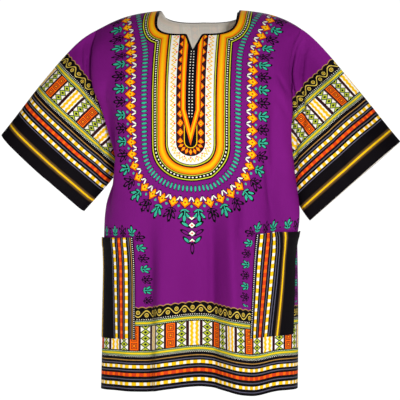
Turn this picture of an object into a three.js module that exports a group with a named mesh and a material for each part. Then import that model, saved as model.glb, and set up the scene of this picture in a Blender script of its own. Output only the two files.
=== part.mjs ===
// A dashiki: a hip-length pullover shirt of printed cotton with a round slit neck, wide elbow-length
// sleeves set on at dropped armholes and two patch pockets. It hangs as it does on a standing figure
// with the arms held out at about 45 degrees, and it is hollow: neck, cuffs and hem are open.
//
// Millimetres. +Z is up, the front faces -Y and +X is on the right seen from the front. The origin is
// the middle of the neck at the height of the shoulder seams' inner ends, where the wearer carries it.
//
// Each piece is one grid of points on the cloth's outer face, which wallBetween() turns into a closed
// wall. A grid is an array of rows, and each row is an array of THREE.Vector3.

import * as THREE from "three";

// ---------------------------------------------------------------- driving dimensions
const WALL = 1.2; // thickness of every cloth wall
const SEAM_HALF_GAP = 0.2; // front and back stay this far off the plane of their common seams
const SLEEVE_GAP = 1; // the sleeve starts this far from the armhole's edge
const UNDERARM_Z = -320;

const NECK_HALF_WIDTH = 80;
const FRONT_NECK_DROP = 52;
const BACK_NECK_DROP = 24;
const SLIT_HALF_WIDTH = 15; // the slit's spread at the neckline
const SLIT_DEPTH = 33;

const POCKET_LIFT = 0.4; // the pocket's inner face off the front
const POCKET_GAPE = 2.2; // how much more its mouth stands off

const UPPER_ROWS = 10; // rows of cells from the shoulder down to the underarm
const LOWER_ROWS = 14; // rows of cells from the underarm down to the hem
const SLEEVE_ROWS = 9;
const NECK_STEPS = 120; // fine steps along half a row before it is resampled: to the neck's width
const SIDE_STEPS = 120; // and from there to the side
const CUFF_STEPS = 160; // the same along half a cuff

// Horizontal sections of the body: half width, how far both sides lie over towards +X, depth of the
// front and the back from the plane of the side seams, and the exponent of their superellipse.
const SECTIONS = [
  { z: 0, half: 206, aside: 0, front: 104, back: 88, square: 2.5 },
  { z: -38, half: 206, aside: -4, front: 109, back: 92, square: 2.5 },
  { z: -75, half: 205, aside: -13, front: 117, back: 100, square: 2.6 },
  { z: -110, half: 203, aside: -15, front: 123, back: 107, square: 2.7 },
  { z: -180, half: 199, aside: -7, front: 130, back: 114, square: 2.8 },
  { z: -240, half: 190, aside: -2, front: 131, back: 115, square: 2.8 },
  { z: -290, half: 186, aside: 0, front: 129, back: 113, square: 2.7 },
  { z: -340, half: 188, aside: 0, front: 125, back: 109, square: 2.5 },
  { z: -400, half: 192, aside: 1, front: 121, back: 105, square: 2.4 },
  { z: -520, half: 195, aside: 1, front: 116, back: 103, square: 2.3 },
  { z: -650, half: 197, aside: 0, front: 117, back: 108, square: 2.3 },
  { z: -770, half: 198, aside: -2, front: 121, back: 113, square: 2.3 },
];

// Height of the shoulder line over its distance from the middle.
const SHOULDER = [
  { x: 0, z: 3 },
  { x: 80, z: 0 },
  { x: 115, z: -4 },
  { x: 144, z: -10 },
  { x: 172, z: -20 },
  { x: 206, z: -38 },
  { x: 240, z: -62 },
];

// How far the panel's side edge is drawn in from the section: the cloth folds back on itself to reach
// the armhole's seam, behind a fold in front of the arm.
const ARMHOLE_TUCK = [
  { z: 0, inward: 0, forward: 0 },
  { z: -38, inward: 0, forward: 0 },
  { z: -80, inward: 9, forward: 27 },
  { z: -130, inward: 15, forward: 38 },
  { z: -220, inward: 18, forward: 37 },
  { z: -280, inward: 20, forward: 20 },
  { z: -320, inward: 20, forward: 0 },
  { z: -360, inward: 12, forward: 0 },
  { z: -420, inward: 0, forward: 0 },
  { z: -800, inward: 0, forward: 0 },
];
const TUCK_FROM_DEG = 70; // where the tuck starts round the section

// The hem's height round the front and the back; round is the share of the quarter turn from the
// panel's middle to its side seam.
const FRONT_HEM = [
  { round: -1, z: -757 },
  { round: -0.56, z: -753 },
  { round: -0.3, z: -752 },
  { round: -0.11, z: -743 },
  { round: 0.03, z: -738 },
  { round: 0.16, z: -744 },
  { round: 0.39, z: -755 },
  { round: 0.66, z: -749 },
  { round: 1, z: -752 },
];
const BACK_HEM = [
  { round: -1, z: -757 },
  { round: -0.62, z: -760 },
  { round: -0.3, z: -750 },
  { round: 0.02, z: -757 },
  { round: 0.36, z: -748 },
  { round: 0.7, z: -757 },
  { round: 1, z: -752 },
];

// Soft folds of the panels. Each runs between two places, across (a share of the half panel) and z,
// with a half width (the same share), a depth (+ is a ridge), and the height over which it fades at
// each end. Those that end below the hem run out over it.
const FRONT_FOLDS = [
  { across: -0.4, z: -330, endAcross: -0.38, endZ: -1100, width: 0.1, depth: -13, fade: 260 },
  { across: -0.16, z: -320, endAcross: -0.25, endZ: -1100, width: 0.12, depth: 13, fade: 300 },
  { across: -0.66, z: -480, endAcross: -0.62, endZ: -1100, width: 0.09, depth: -6, fade: 200 },
  { across: 0.03, z: -300, endAcross: 0.14, endZ: -1100, width: 0.12, depth: -18, fade: 260 },
  { across: 0.29, z: -270, endAcross: 0.44, endZ: -1100, width: 0.11, depth: 22, fade: 300 },
  { across: 0.62, z: -460, endAcross: 0.62, endZ: -1100, width: 0.1, depth: -7, fade: 200 },
  { across: 0.58, z: -240, endAcross: 0.64, endZ: -480, width: 0.1, depth: -9, fade: 90 },
  { across: 0.86, z: -230, endAcross: 0.88, endZ: -500, width: 0.1, depth: 11, fade: 90 },
  { across: -0.84, z: -230, endAcross: -0.78, endZ: -450, width: 0.1, depth: -7, fade: 90 },
  { across: 0.6, z: -40, endAcross: 0.72, endZ: -230, width: 0.07, depth: -4.5, fade: 60 },
  { across: -0.66, z: -60, endAcross: -0.78, endZ: -260, width: 0.08, depth: -4, fade: 60 },
];
const BACK_FOLDS = [
  { across: -0.62, z: -240, endAcross: -0.6, endZ: -1100, width: 0.15, depth: 15, fade: 380 },
  { across: -0.33, z: -300, endAcross: -0.36, endZ: -1100, width: 0.12, depth: -12, fade: 300 },
  { across: 0, z: -190, endAcross: 0.04, endZ: -1100, width: 0.15, depth: 14, fade: 330 },
  { across: 0.34, z: -280, endAcross: 0.36, endZ: -1100, width: 0.13, depth: -14, fade: 300 },
  { across: 0.66, z: -230, endAcross: 0.63, endZ: -1100, width: 0.15, depth: 15, fade: 380 },
  { across: -0.6, z: -50, endAcross: -0.76, endZ: -250, width: 0.08, depth: -6, fade: 60 },
  { across: 0.64, z: -45, endAcross: 0.75, endZ: -270, width: 0.08, depth: -6, fade: 60 },
];

// The two sleeves. The cuff is a tall drop in a plane square to the arm: round at the top, where the
// arm is, and a fold at the bottom.
const SLEEVES = [
  { name: "left_sleeve", side: -1, cuffTop: [404, 6, -248], cuffBottom: [232, -20, -401] },
  { name: "right_sleeve", side: 1, cuffTop: [397, 6, -262], cuffBottom: [222, -20, -417] },
];
// Half the cuff's thickness over the share of the way from its top corner to its bottom one.
const CUFF = [
  { down: 0, half: 0 },
  { down: 0.02, half: 20 },
  { down: 0.07, half: 34 },
  { down: 0.16, half: 45 },
  { down: 0.3, half: 48 },
  { down: 0.5, half: 40 },
  { down: 0.72, half: 28 },
  { down: 0.9, half: 18 },
  { down: 0.97, half: 12 },
  { down: 1, half: 0 },
];
const ARM_AXIS = new THREE.Vector3(0.665, 0, -0.747); // along the arm, away from the body, at +X
// Where each line along the sleeve leaves the armhole: a direction and a pull, round from the shoulder
// to the underarm.
const LEAVING = [
  { round: 0, x: 0.86, y: 0, z: -0.51, pull: 175 },
  { round: 0.2, x: 0.88, y: -0.08, z: -0.47, pull: 150 },
  { round: 0.5, x: 0.85, y: -0.1, z: -0.5, pull: 120 },
  { round: 0.8, x: 0.7, y: -0.08, z: -0.7, pull: 90 },
  { round: 1, x: 0.45, y: 0, z: -0.89, pull: 60 },
];
const CUFF_PULL = 1.05; // pull into the cuff, as a share of the line's length

// Soft folds of the sleeves: side (-1 left), facing (-1 front), the share of the way round from the
// shoulder to the underarm and along from the armhole to the cuff at both ends, a half width (a share
// of the way round) and a depth.
const SLEEVE_FOLDS = [
  { side: 1, facing: -1, round: 0.12, along: 0.1, endRound: 0.62, endAlong: 0.34, width: 0.1, depth: -7 },
  { side: 1, facing: -1, round: 0.2, along: 0.42, endRound: 0.55, endAlong: 1.4, width: 0.12, depth: 6 },
  { side: -1, facing: -1, round: 0.1, along: 0.16, endRound: 0.6, endAlong: 0.3, width: 0.1, depth: -6 },
  { side: -1, facing: -1, round: 0.75, along: 0.1, endRound: 0.45, endAlong: 1.4, width: 0.13, depth: 6 },
  { side: 1, facing: 1, round: 0.7, along: 0.05, endRound: 0.4, endAlong: 1.3, width: 0.12, depth: -8 },
  { side: 1, facing: 1, round: 0.3, along: 0.1, endRound: 0.25, endAlong: 0.9, width: 0.12, depth: 6 },
  { side: -1, facing: 1, round: 0.66, along: 0.05, endRound: 0.5, endAlong: 1.3, width: 0.13, depth: -8 },
  { side: -1, facing: 1, round: 0.36, along: 0.05, endRound: 0.2, endAlong: 0.9, width: 0.12, depth: 6 },
];

// Pockets: the shares of the half panel at their inner and outer edges, at the mouth and the bottom,
// and the heights of both.
const POCKETS = [
  {
    name: "left_pocket", side: -1, topZ: -452, bottomZ: -652,
    topInner: 0.475, topOuter: 0.885, bottomInner: 0.465, bottomOuter: 0.885,
  },
  {
    name: "right_pocket", side: 1, topZ: -437, bottomZ: -640,
    topInner: 0.485, topOuter: 0.915, bottomInner: 0.43, bottomOuter: 0.85,
  },
];
const POCKET_COLUMNS = 4;
const POCKET_ROWS = 6;

// ---------------------------------------------------------------- numbers
const QUARTER = Math.PI / 2;
const clamp01 = (t) => Math.min(1, Math.max(0, t));
const mix = (a, b, t) => a + (b - a) * t;
const smooth = (t) => clamp01(t) ** 2 * (3 - 2 * clamp01(t));

// A column of a table at a value of its key, on a smooth curve through the rows that never runs past
// a row's value between two rows.
function lookUp(table, key, column, at) {
  const last = table.length - 1;
  const rising = table[last][key] > table[0][key];
  const beyond = (i) => (rising ? table[i][key] < at : table[i][key] > at);
  let i = 0;
  while (i < last - 1 && beyond(i + 1)) i += 1;
  const secant = (j) =>
    (table[j + 1][column] - table[j][column]) / (table[j + 1][key] - table[j][key]);
  const slope = (j) => {
    if (j === 0) return secant(0);
    if (j === last) return secant(last - 1);
    const [a, b] = [secant(j - 1), secant(j)];
    return a * b > 0 ? (2 * a * b) / (a + b) : 0;
  };
  const [p, q] = [table[i], table[i + 1]];
  const span = q[key] - p[key];
  const t = clamp01((at - p[key]) / span);
  const value = (1 + 2 * t) * (1 - t) ** 2 * p[column] + t * t * (3 - 2 * t) * q[column];
  return value + span * (t * (1 - t) ** 2 * slope(i) - t * t * (1 - t) * slope(i + 1));
}

// The point at a length along a polyline whose running lengths are given.
function pointAt(line, lengths, length) {
  let i = 1;
  while (i < line.length - 1 && lengths[i] < length) i += 1;
  const t = (length - lengths[i - 1]) / (lengths[i] - lengths[i - 1]);
  return line[i - 1].clone().lerp(line[i], clamp01(t));
}

function runningLengths(line) {
  const lengths = [0];
  for (let i = 1; i < line.length; i++) {
    lengths.push(lengths[i - 1] + line[i].distanceTo(line[i - 1]));
  }
  return lengths;
}

// ---------------------------------------------------------------- walls
const SLANT_SHARE = 0.8; // a diagonal this much shorter than the usual one takes its place

// The outward normal at each point of a grid; sense is 1 or -1.
function gridNormals(grid, sense) {
  const rows = grid.length;
  const columns = grid[0].length;
  return grid.map((row, i) =>
    row.map((_, j) => {
      const down = grid[Math.min(rows - 1, i + 1)][j].clone().sub(grid[Math.max(0, i - 1)][j]);
      const along = row[Math.min(columns - 1, j + 1)].clone().sub(row[Math.max(0, j - 1)]);
      return down.cross(along).normalize().multiplyScalar(sense);
    }),
  );
}

// A closed wall between two grids of the same size: outer, and inner behind it. A ring closes on
// itself along its rows, so that it has only the two end rims.
function wallBetween(outer, inner, sense, ring = false) {
  const rows = outer.length;
  const columns = outer[0].length;
  const points = [...outer.flat(), ...inner.flat()];
  const at = (layer, i, j) => layer * rows * columns + i * columns + (j % columns);
  const index = [];
  const quad = (a, b, c, d) => {
    if (sense > 0) index.push(a, b, c, a, c, d);
    else index.push(a, c, b, a, d, c);
  };
  // Whether a cell is so slanted that it's cut along its other diagonal.
  const slanted = (i, j) => {
    const next = (j + 1) % columns;
    const usual = outer[i][j].distanceTo(outer[i + 1][next]);
    return outer[i + 1][j].distanceTo(outer[i][next]) < SLANT_SHARE * usual;
  };
  const across = ring ? columns : columns - 1;
  for (let i = 0; i < rows - 1; i++) {
    for (let j = 0; j < across; j++) {
      const outside = [at(0, i, j), at(0, i + 1, j), at(0, i + 1, j + 1), at(0, i, j + 1)];
      const inside = [at(1, i, j), at(1, i, j + 1), at(1, i + 1, j + 1), at(1, i + 1, j)];
      if (slanted(i, j)) [outside, inside].forEach((corners) => corners.push(corners.shift()));
      quad(...outside);
      quad(...inside);
    }
  }
  const end = rows - 1;
  for (let j = 0; j < across; j++) {
    quad(at(0, 0, j), at(0, 0, j + 1), at(1, 0, j + 1), at(1, 0, j));
    quad(at(0, end, j), at(1, end, j), at(1, end, j + 1), at(0, end, j + 1));
  }
  if (!ring) {
    const side = columns - 1;
    for (let i = 0; i < rows - 1; i++) {
      quad(at(0, i, 0), at(1, i, 0), at(1, i + 1, 0), at(0, i + 1, 0));
      quad(at(0, i, side), at(0, i + 1, side), at(1, i + 1, side), at(1, i, side));
    }
  }
  const position = new Float32Array(points.flatMap((p) => [p.x, p.y, p.z]));
  return new THREE.BufferGeometry()
    .setAttribute("position", new THREE.BufferAttribute(position, 3))
    .setIndex(index);
}

function moved(grid, normals, by) {
  return grid.map((row, i) => row.map((p, j) => p.clone().addScaledVector(normals[i][j], by)));
}

// ---------------------------------------------------------------- the body's two panels
const PANELS = {
  front: {
    facing: -1, // towards -Y
    depth: "front",
    domeHeight: 178, // height over which the shoulder rounds over into the panel
    neckDrop: FRONT_NECK_DROP,
    neckSquareness: 4, // exponent of the neckline's superellipse
    slit: true,
    hem: FRONT_HEM,
    folds: FRONT_FOLDS,
    tuckForward: 1,
  },
  back: {
    facing: 1,
    depth: "back",
    domeHeight: 120,
    neckDrop: BACK_NECK_DROP,
    neckSquareness: 2.6,
    slit: false,
    hem: BACK_HEM,
    folds: BACK_FOLDS,
    tuckForward: 0.95,
  },
};

// Columns of each half: the slit, the rest of the neck, and from the shoulder seam's inner end to the
// side. The last stretch has its cuts at the pockets' edges too.
const SLIT_COLUMNS = 2;
const NECK_COLUMNS = 6;
const BESIDE_POCKET = { inside: 2, outside: 4 };
const HALF_COLUMNS = SLIT_COLUMNS + NECK_COLUMNS + BESIDE_POCKET.inside + POCKET_COLUMNS
  + BESIDE_POCKET.outside;

const shoulderZ = (x) => lookUp(SHOULDER, "x", "z", Math.abs(x));

// The neckline's half width and squareness as each row follows it: the rows below it echo it wider
// and rounder, so that the columns fan out from the neck, and further down come back in.
const NECK_FAN = { wider: 30, fullRow: 3, lastRow: 11, squareness: 2.2, roundRow: 4, slitRows: 6 };
const neckHalfWidth = (row) => {
  const back = (NECK_FAN.lastRow - row) / (NECK_FAN.lastRow - NECK_FAN.fullRow);
  return NECK_HALF_WIDTH + NECK_FAN.wider * smooth(row / NECK_FAN.fullRow) * smooth(back);
};
const neckSquareness = (panel, row) =>
  mix(panel.neckSquareness, NECK_FAN.squareness, smooth(row / NECK_FAN.roundRow));

// The height of the top edge, neckline and then shoulder seam, as the rows below it follow it.
function topEdgeZ(panel, row, x) {
  const out = Math.abs(x) / neckHalfWidth(row);
  if (out >= 1) return shoulderZ(x);
  const power = neckSquareness(panel, row);
  const neck = panel.neckDrop * (1 - out ** power) ** (1 / power);
  const slit = panel.slit ? SLIT_DEPTH * clamp01(1 - Math.abs(x) / SLIT_HALF_WIDTH) : 0;
  return shoulderZ(x) - neck - slit * clamp01(1 - row / NECK_FAN.slitRows);
}

// How far down the upper rows lie, as a share of the way to the underarm: closer together at the
// shoulder, which is round.
const UPPER_CROWDING = 1.45;
const upperShare = (row) => (row / UPPER_ROWS) ** UPPER_CROWDING;

// How far down each row lies: the lower rows have cuts at the pockets' top and bottom.
const POCKET_FIRST_ROW = UPPER_ROWS + 4;
const POCKET_LAST_ROW = POCKET_FIRST_ROW + POCKET_ROWS;
function rowZ(panel, row, x, side, round) {
  if (row <= UPPER_ROWS) return mix(topEdgeZ(panel, row, x), UNDERARM_Z, upperShare(row));
  const [left, right] = POCKETS;
  const pocketHeight = (end) => mix(left[end], right[end], smooth((1 + side * round) / 2));
  const stops = [
    { row: UPPER_ROWS, z: UNDERARM_Z },
    { row: POCKET_FIRST_ROW, z: pocketHeight("topZ") },
    { row: POCKET_LAST_ROW, z: pocketHeight("bottomZ") },
    { row: UPPER_ROWS + LOWER_ROWS, z: lookUp(panel.hem, "round", "z", side * round) },
  ];
  const next = stops.findIndex((stop) => stop.row >= row);
  const [a, b] = [stops[next - 1], stops[next]];
  return mix(a.z, b.z, (row - a.row) / (b.row - a.row));
}

// The share of the section's half width at an angle round it, or the angle at such a share.
const acrossAt = (angle, z) => Math.sin(angle) ** (2 / lookUp(SECTIONS, "z", "square", z));
const angleAt = (across, z) =>
  Math.asin(Math.min(1, across) ** (lookUp(SECTIONS, "z", "square", z) / 2));

// One point of the body before folds, at a distance from the middle and a height; angle 0 is the
// middle of the panel and a quarter turn the side seam.
function bodyPoint(panel, side, x, z, angle) {
  const square = lookUp(SECTIONS, "z", "square", z);
  const tuck = clamp01((THREE.MathUtils.radToDeg(angle) - TUCK_FROM_DEG) / (90 - TUCK_FROM_DEG)) ** 2;
  const deep = lookUp(SECTIONS, "z", panel.depth, z) * Math.max(0, Math.cos(angle)) ** (2 / square);
  const y = deep + tuck * panel.tuckForward * lookUp(ARMHOLE_TUCK, "z", "forward", z);
  const out = x - tuck * lookUp(ARMHOLE_TUCK, "z", "inward", z);
  const below = clamp01((shoulderZ(x) - z) / panel.domeHeight);
  const dome = Math.sqrt(1 - (1 - below) ** 2);
  const aside = lookUp(SECTIONS, "z", "aside", z) * Math.sin(angle) ** 3;
  return new THREE.Vector3(side * out + aside, panel.facing * (y * dome + SEAM_HALF_GAP), z);
}

// Where a row passes a distance from the middle: the angle there and the height.
function rowAtX(panel, row, side, x) {
  let angle = 0;
  let z = 0;
  for (let pass = 0; pass < 4; pass++) {
    z = rowZ(panel, row, x, side, angle / QUARTER);
    angle = angleAt(x / lookUp(SECTIONS, "z", "half", z), z);
  }
  return { angle, z };
}

// A finely stepped half row: NECK_STEPS to the distance where the shoulder seam starts, crowded
// towards it as the neckline turns down there, then SIDE_STEPS to the side.
function fineHalfRow(panel, row, side) {
  const width = neckHalfWidth(row);
  const line = [];
  for (let i = 0; i <= NECK_STEPS; i++) {
    const x = width * Math.sin((QUARTER * i) / NECK_STEPS) ** (2 / neckSquareness(panel, row));
    const { angle, z } = rowAtX(panel, row, side, x);
    line.push(bodyPoint(panel, side, x, z, angle));
  }
  const start = rowAtX(panel, row, side, width).angle;
  for (let i = 1; i <= SIDE_STEPS; i++) {
    const angle = mix(start, QUARTER, i / SIDE_STEPS);
    let x = width;
    let z = 0;
    for (let pass = 0; pass < 4; pass++) {
      z = rowZ(panel, row, x, side, angle / QUARTER);
      x = lookUp(SECTIONS, "z", "half", z) * acrossAt(angle, z);
    }
    line.push(bodyPoint(panel, side, x, z, angle));
  }
  return line;
}

// Half a row from the middle to the side, cut into columns of equal length within each stretch.
function halfRow(panel, row, side) {
  const line = fineHalfRow(panel, row, side);
  const lengths = runningLengths(line);
  const whole = lengths[line.length - 1];
  const neck = lengths[NECK_STEPS];
  const slit = lengths[line.findIndex((p) => Math.abs(p.x) >= SLIT_HALF_WIDTH)];
  const low = smooth((row - 2) / UPPER_ROWS); // the pockets' cuts come in below the shoulder
  const pocket = POCKETS.find((one) => one.side === side);
  const down = clamp01((row - POCKET_FIRST_ROW) / POCKET_ROWS);
  const pocketCut = (top, bottom, plain) =>
    mix(mix(neck, whole, plain), whole * mix(pocket[top], pocket[bottom], down), low);
  const afterNeck = BESIDE_POCKET.inside + POCKET_COLUMNS + BESIDE_POCKET.outside;
  const stops = [
    { columns: 0, length: 0 },
    { columns: SLIT_COLUMNS, length: slit },
    { columns: NECK_COLUMNS, length: neck },
    {
      columns: BESIDE_POCKET.inside,
      length: pocketCut("topInner", "bottomInner", BESIDE_POCKET.inside / afterNeck),
    },
    {
      columns: POCKET_COLUMNS,
      length: pocketCut("topOuter", "bottomOuter", (BESIDE_POCKET.inside + POCKET_COLUMNS) / afterNeck),
    },
    { columns: BESIDE_POCKET.outside, length: whole },
  ];
  const made = [{ point: line[0], across: 0 }];
  for (let s = 1; s < stops.length; s++) {
    for (let j = 1; j <= stops[s].columns; j++) {
      const length = mix(stops[s - 1].length, stops[s].length, j / stops[s].columns);
      made.push({ point: pointAt(line, lengths, length), across: (side * length) / whole });
    }
  }
  return made;
}

// How far the folds move a point out, at a place across the panel and a height. They die out at the
// side seams and the armholes, so that the pieces still meet there.
const FOLD_EDGE_POWER = 10; // how close to the edge the folds keep their depth
function foldDepth(folds, across, z) {
  const edge = 1 - Math.abs(across) ** FOLD_EDGE_POWER;
  return folds.reduce((sum, fold) => {
    const way = (fold.z - z) / (fold.z - fold.endZ);
    const middle = mix(fold.across, fold.endAcross, way);
    const ends = smooth((fold.z - z) / fold.fade) * smooth((z - fold.endZ) / fold.fade);
    return sum + edge * fold.depth * ends * Math.exp(-(((across - middle) / fold.width) ** 2));
  }, 0);
}

// A panel's grid of points on its outer face, and the normals there.
function panelGrid(panel) {
  const rows = [];
  const across = [];
  for (let row = 0; row <= UPPER_ROWS + LOWER_ROWS; row++) {
    const left = halfRow(panel, row, -1).slice(1).reverse();
    const right = halfRow(panel, row, 1);
    rows.push([...left, ...right].map((p) => p.point));
    across.push([...left, ...right].map((p) => p.across));
  }
  const sense = -panel.facing;
  const plain = gridNormals(rows, sense);
  const grid = rows.map((row, i) =>
    row.map((p, j) =>
      p.clone().addScaledVector(plain[i][j], foldDepth(panel.folds, across[i][j], p.z)),
    ),
  );
  const normals = gridNormals(grid, sense);
  const last = grid[0].length - 1;
  normals.forEach((row, i) =>
    row.forEach((n, j) => {
      const onShoulder = i === 0 && Math.abs(j - HALF_COLUMNS) >= SLIT_COLUMNS + NECK_COLUMNS;
      const onSide = (j === 0 || j === last) && i >= UPPER_ROWS;
      if (onShoulder || onSide) n.setY(0).normalize();
    }),
  );
  return { grid, normals, sense };
}

// ---------------------------------------------------------------- sleeves
// Half of the cuff's loop, from the top corner down to the bottom one: ways down and half thicknesses
// for the same shares of its length as the rows at the armhole.
function cuffHalf(height) {
  const line = [];
  for (let i = 0; i <= CUFF_STEPS; i++) {
    const down = (1 - Math.cos((Math.PI * i) / CUFF_STEPS)) / 2; // finer at both ends
    line.push(new THREE.Vector3(down * height, lookUp(CUFF, "down", "half", down), 0));
  }
  const lengths = runningLengths(line);
  return Array.from({ length: UPPER_ROWS + 1 }, (_, i) =>
    pointAt(line, lengths, lengths[CUFF_STEPS] * upperShare(i)),
  );
}

// The sleeve's grid: rows run round the arm, from the armhole to the cuff, and each starts at the
// shoulder and comes back to it by the front, the underarm and the back.
function sleeveGrid(sleeve, front, back) {
  const edgeColumn = sleeve.side > 0 ? front.grid[0].length - 1 : 0;
  const top = new THREE.Vector3(...sleeve.cuffTop);
  const bottom = new THREE.Vector3(...sleeve.cuffBottom);
  const downwards = bottom.clone().sub(top);
  const half = cuffHalf(downwards.length());
  downwards.normalize();
  const lines = [];
  for (let j = 0; j < 2 * UPPER_ROWS; j++) {
    const inFront = j <= UPPER_ROWS;
    const step = inFront ? j : 2 * UPPER_ROWS - j;
    const start = (inFront ? front : back).grid[step][edgeColumn].clone();
    start.x *= sleeve.side; // worked out at +X, and mirrored at the end
    if (step === 0 || step === UPPER_ROWS) start.y = 0;
    const towards = inFront ? -1 : 1;
    const end = top.clone().addScaledVector(downwards, half[step].x);
    end.y += towards * half[step].y;
    const round = upperShare(step);
    const leaving = new THREE.Vector3(
      lookUp(LEAVING, "round", "x", round),
      -towards * lookUp(LEAVING, "round", "y", round),
      lookUp(LEAVING, "round", "z", round),
    ).normalize();
    start.addScaledVector(leaving, SLEEVE_GAP);
    const pull = lookUp(LEAVING, "round", "pull", round);
    const into = ARM_AXIS.clone().multiplyScalar(CUFF_PULL * start.distanceTo(end));
    lines.push({ start, end, leaving: leaving.multiplyScalar(pull), into });
  }
  const grid = [];
  for (let i = 0; i <= SLEEVE_ROWS; i++) {
    const t = i / SLEEVE_ROWS;
    grid.push(
      lines.map(({ start, end, leaving, into }) => {
        const p = start.clone().multiplyScalar((1 + 2 * t) * (1 - t) ** 2);
        p.addScaledVector(leaving, t * (1 - t) ** 2);
        p.addScaledVector(end, t * t * (3 - 2 * t));
        p.addScaledVector(into, -t * t * (1 - t));
        p.x *= sleeve.side;
        return p;
      }),
    );
  }
  return grid;
}

// How far a sleeve's folds move out the point at column j and row i of its grid. They die out at the
// armhole, the top line and the underarm, and at their own ends.
const SLEEVE_FOLD_FADE = { armhole: 0.12, lines: 0.1, ends: 0.2 };
function sleeveFoldDepth(sleeve, i, j) {
  const facing = j <= UPPER_ROWS ? -1 : 1;
  const round = upperShare(facing < 0 ? j : 2 * UPPER_ROWS - j);
  const along = i / SLEEVE_ROWS;
  const fade = SLEEVE_FOLD_FADE;
  const edges =
    smooth(along / fade.armhole) * smooth(round / fade.lines) * smooth((1 - round) / fade.lines);
  return SLEEVE_FOLDS.filter((fold) => fold.side === sleeve.side && fold.facing === facing)
    .reduce((sum, fold) => {
      const way = (along - fold.along) / (fold.endAlong - fold.along);
      const off = (round - mix(fold.round, fold.endRound, way)) / fold.width;
      const ends =
        smooth((way + fade.ends) / (2 * fade.ends)) * smooth((1 + fade.ends - way) / (2 * fade.ends));
      return sum + edges * ends * fold.depth * Math.exp(-off * off);
    }, 0);
}

function ringNormals(grid, sense) {
  const last = grid.length - 1;
  const count = grid[0].length;
  return grid.map((row, i) =>
    row.map((_, j) => {
      const down = grid[Math.min(last, i + 1)][j].clone().sub(grid[Math.max(0, i - 1)][j]);
      const along = row[(j + 1) % count].clone().sub(row[(j + count - 1) % count]);
      return down.cross(along).normalize().multiplyScalar(sense);
    }),
  );
}

function sleeveWall(sleeve, front, back) {
  const sense = sleeve.side > 0 ? -1 : 1;
  const plain = sleeveGrid(sleeve, front, back);
  const normals = ringNormals(plain, sense);
  const grid = plain.map((row, i) =>
    row.map((p, j) => p.clone().addScaledVector(normals[i][j], sleeveFoldDepth(sleeve, i, j))),
  );
  return wallBetween(grid, moved(grid, ringNormals(grid, sense), -WALL), sense, true);
}

// ---------------------------------------------------------------- pockets
// A pocket lies on the front's own points, moved out, and its mouth stands off over two rows.
function pocketWall(front, { side }) {
  const middle = HALF_COLUMNS;
  const inner = SLIT_COLUMNS + NECK_COLUMNS + BESIDE_POCKET.inside;
  const first = side > 0 ? middle + inner : middle - inner - POCKET_COLUMNS;
  const cut = (grid) =>
    grid.slice(POCKET_FIRST_ROW, POCKET_LAST_ROW + 1)
      .map((row) => row.slice(first, first + POCKET_COLUMNS + 1));
  const grid = cut(front.grid);
  const normals = cut(front.normals);
  const liftOf = (i) => POCKET_LIFT + POCKET_GAPE * smooth(1 - i / 2);
  const lifted = (more) =>
    grid.map((row, i) =>
      row.map((p, j) => p.clone().addScaledVector(normals[i][j], liftOf(i) + more)),
    );
  return wallBetween(lifted(WALL), lifted(0), front.sense);
}

// ---------------------------------------------------------------- the garment
const printedCotton = (color) => new THREE.MeshStandardMaterial({ color, roughness: 0.78, metalness: 0 });
const purple = printedCotton(0x7d237c);
const bordered = printedCotton(0x6b3a5e);
const black = printedCotton(0x1b181b);

const garment = new THREE.Group();
function add(name, geometry, material) {
  const mesh = new THREE.Mesh(geometry, material);
  mesh.name = name;
  garment.add(mesh);
}

const front = panelGrid(PANELS.front);
const back = panelGrid(PANELS.back);
const panelWall = ({ grid, normals, sense }) => wallBetween(grid, moved(grid, normals, -WALL), sense);

add("front_panel", panelWall(front), purple);
add("back_panel", panelWall(back), purple);
for (const sleeve of SLEEVES) add(sleeve.name, sleeveWall(sleeve, front, back), bordered);
for (const pocket of POCKETS) add(pocket.name, pocketWall(front, pocket), black);

export default garment;
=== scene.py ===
# A printed cotton dashiki, worn and hollow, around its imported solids.
#
# Lengths are in millimetres in the tables and become metres where a mesh is made. Every piece is a
# thin shell on its solid's own form: a fine grid of points on the cloth's outer face and another
# behind it. The print is made of shader nodes that read where the cloth was cut, not where it hangs.

import math
from types import SimpleNamespace as Spec

import bpy
import numpy as np
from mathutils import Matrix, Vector


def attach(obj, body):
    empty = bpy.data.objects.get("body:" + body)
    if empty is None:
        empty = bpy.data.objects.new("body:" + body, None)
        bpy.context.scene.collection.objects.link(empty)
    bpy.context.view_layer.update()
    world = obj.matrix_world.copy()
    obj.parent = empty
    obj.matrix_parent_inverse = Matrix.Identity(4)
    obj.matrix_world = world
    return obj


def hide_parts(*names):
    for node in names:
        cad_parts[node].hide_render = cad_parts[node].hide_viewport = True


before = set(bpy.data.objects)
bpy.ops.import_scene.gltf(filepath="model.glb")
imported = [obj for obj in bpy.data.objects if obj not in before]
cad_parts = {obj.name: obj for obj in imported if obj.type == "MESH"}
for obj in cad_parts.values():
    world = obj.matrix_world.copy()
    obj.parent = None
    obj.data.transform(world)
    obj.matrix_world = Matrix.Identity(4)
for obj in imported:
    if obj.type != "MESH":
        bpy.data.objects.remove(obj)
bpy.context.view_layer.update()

MM = 0.001
QUARTER = math.pi / 2
TINY = 1e-9

# ---- camera, light, floor
AIM = Vector((0, 0, -0.378))
AZIMUTH, ELEVATION, DISTANCE = 8, 2, 4.0
LENS, SENSOR = 180, 36  # 0.8 m across at the shirt's middle
FAR = 50  # where the camera stops seeing
FLOOR_Z, FLOOR_SIZE = -1.45, 30  # at the wearer's feet
FLOOR_GLOW = 1.0  # keeps the far floor as white as the studio
FLOOR_COLOUR, WHITE = (0.86, 0.86, 0.86, 1), (1, 1, 1, 1)


def add_object(name, data):
    thing = bpy.data.objects.new(name, data)
    bpy.context.collection.objects.link(thing)
    return thing


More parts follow.
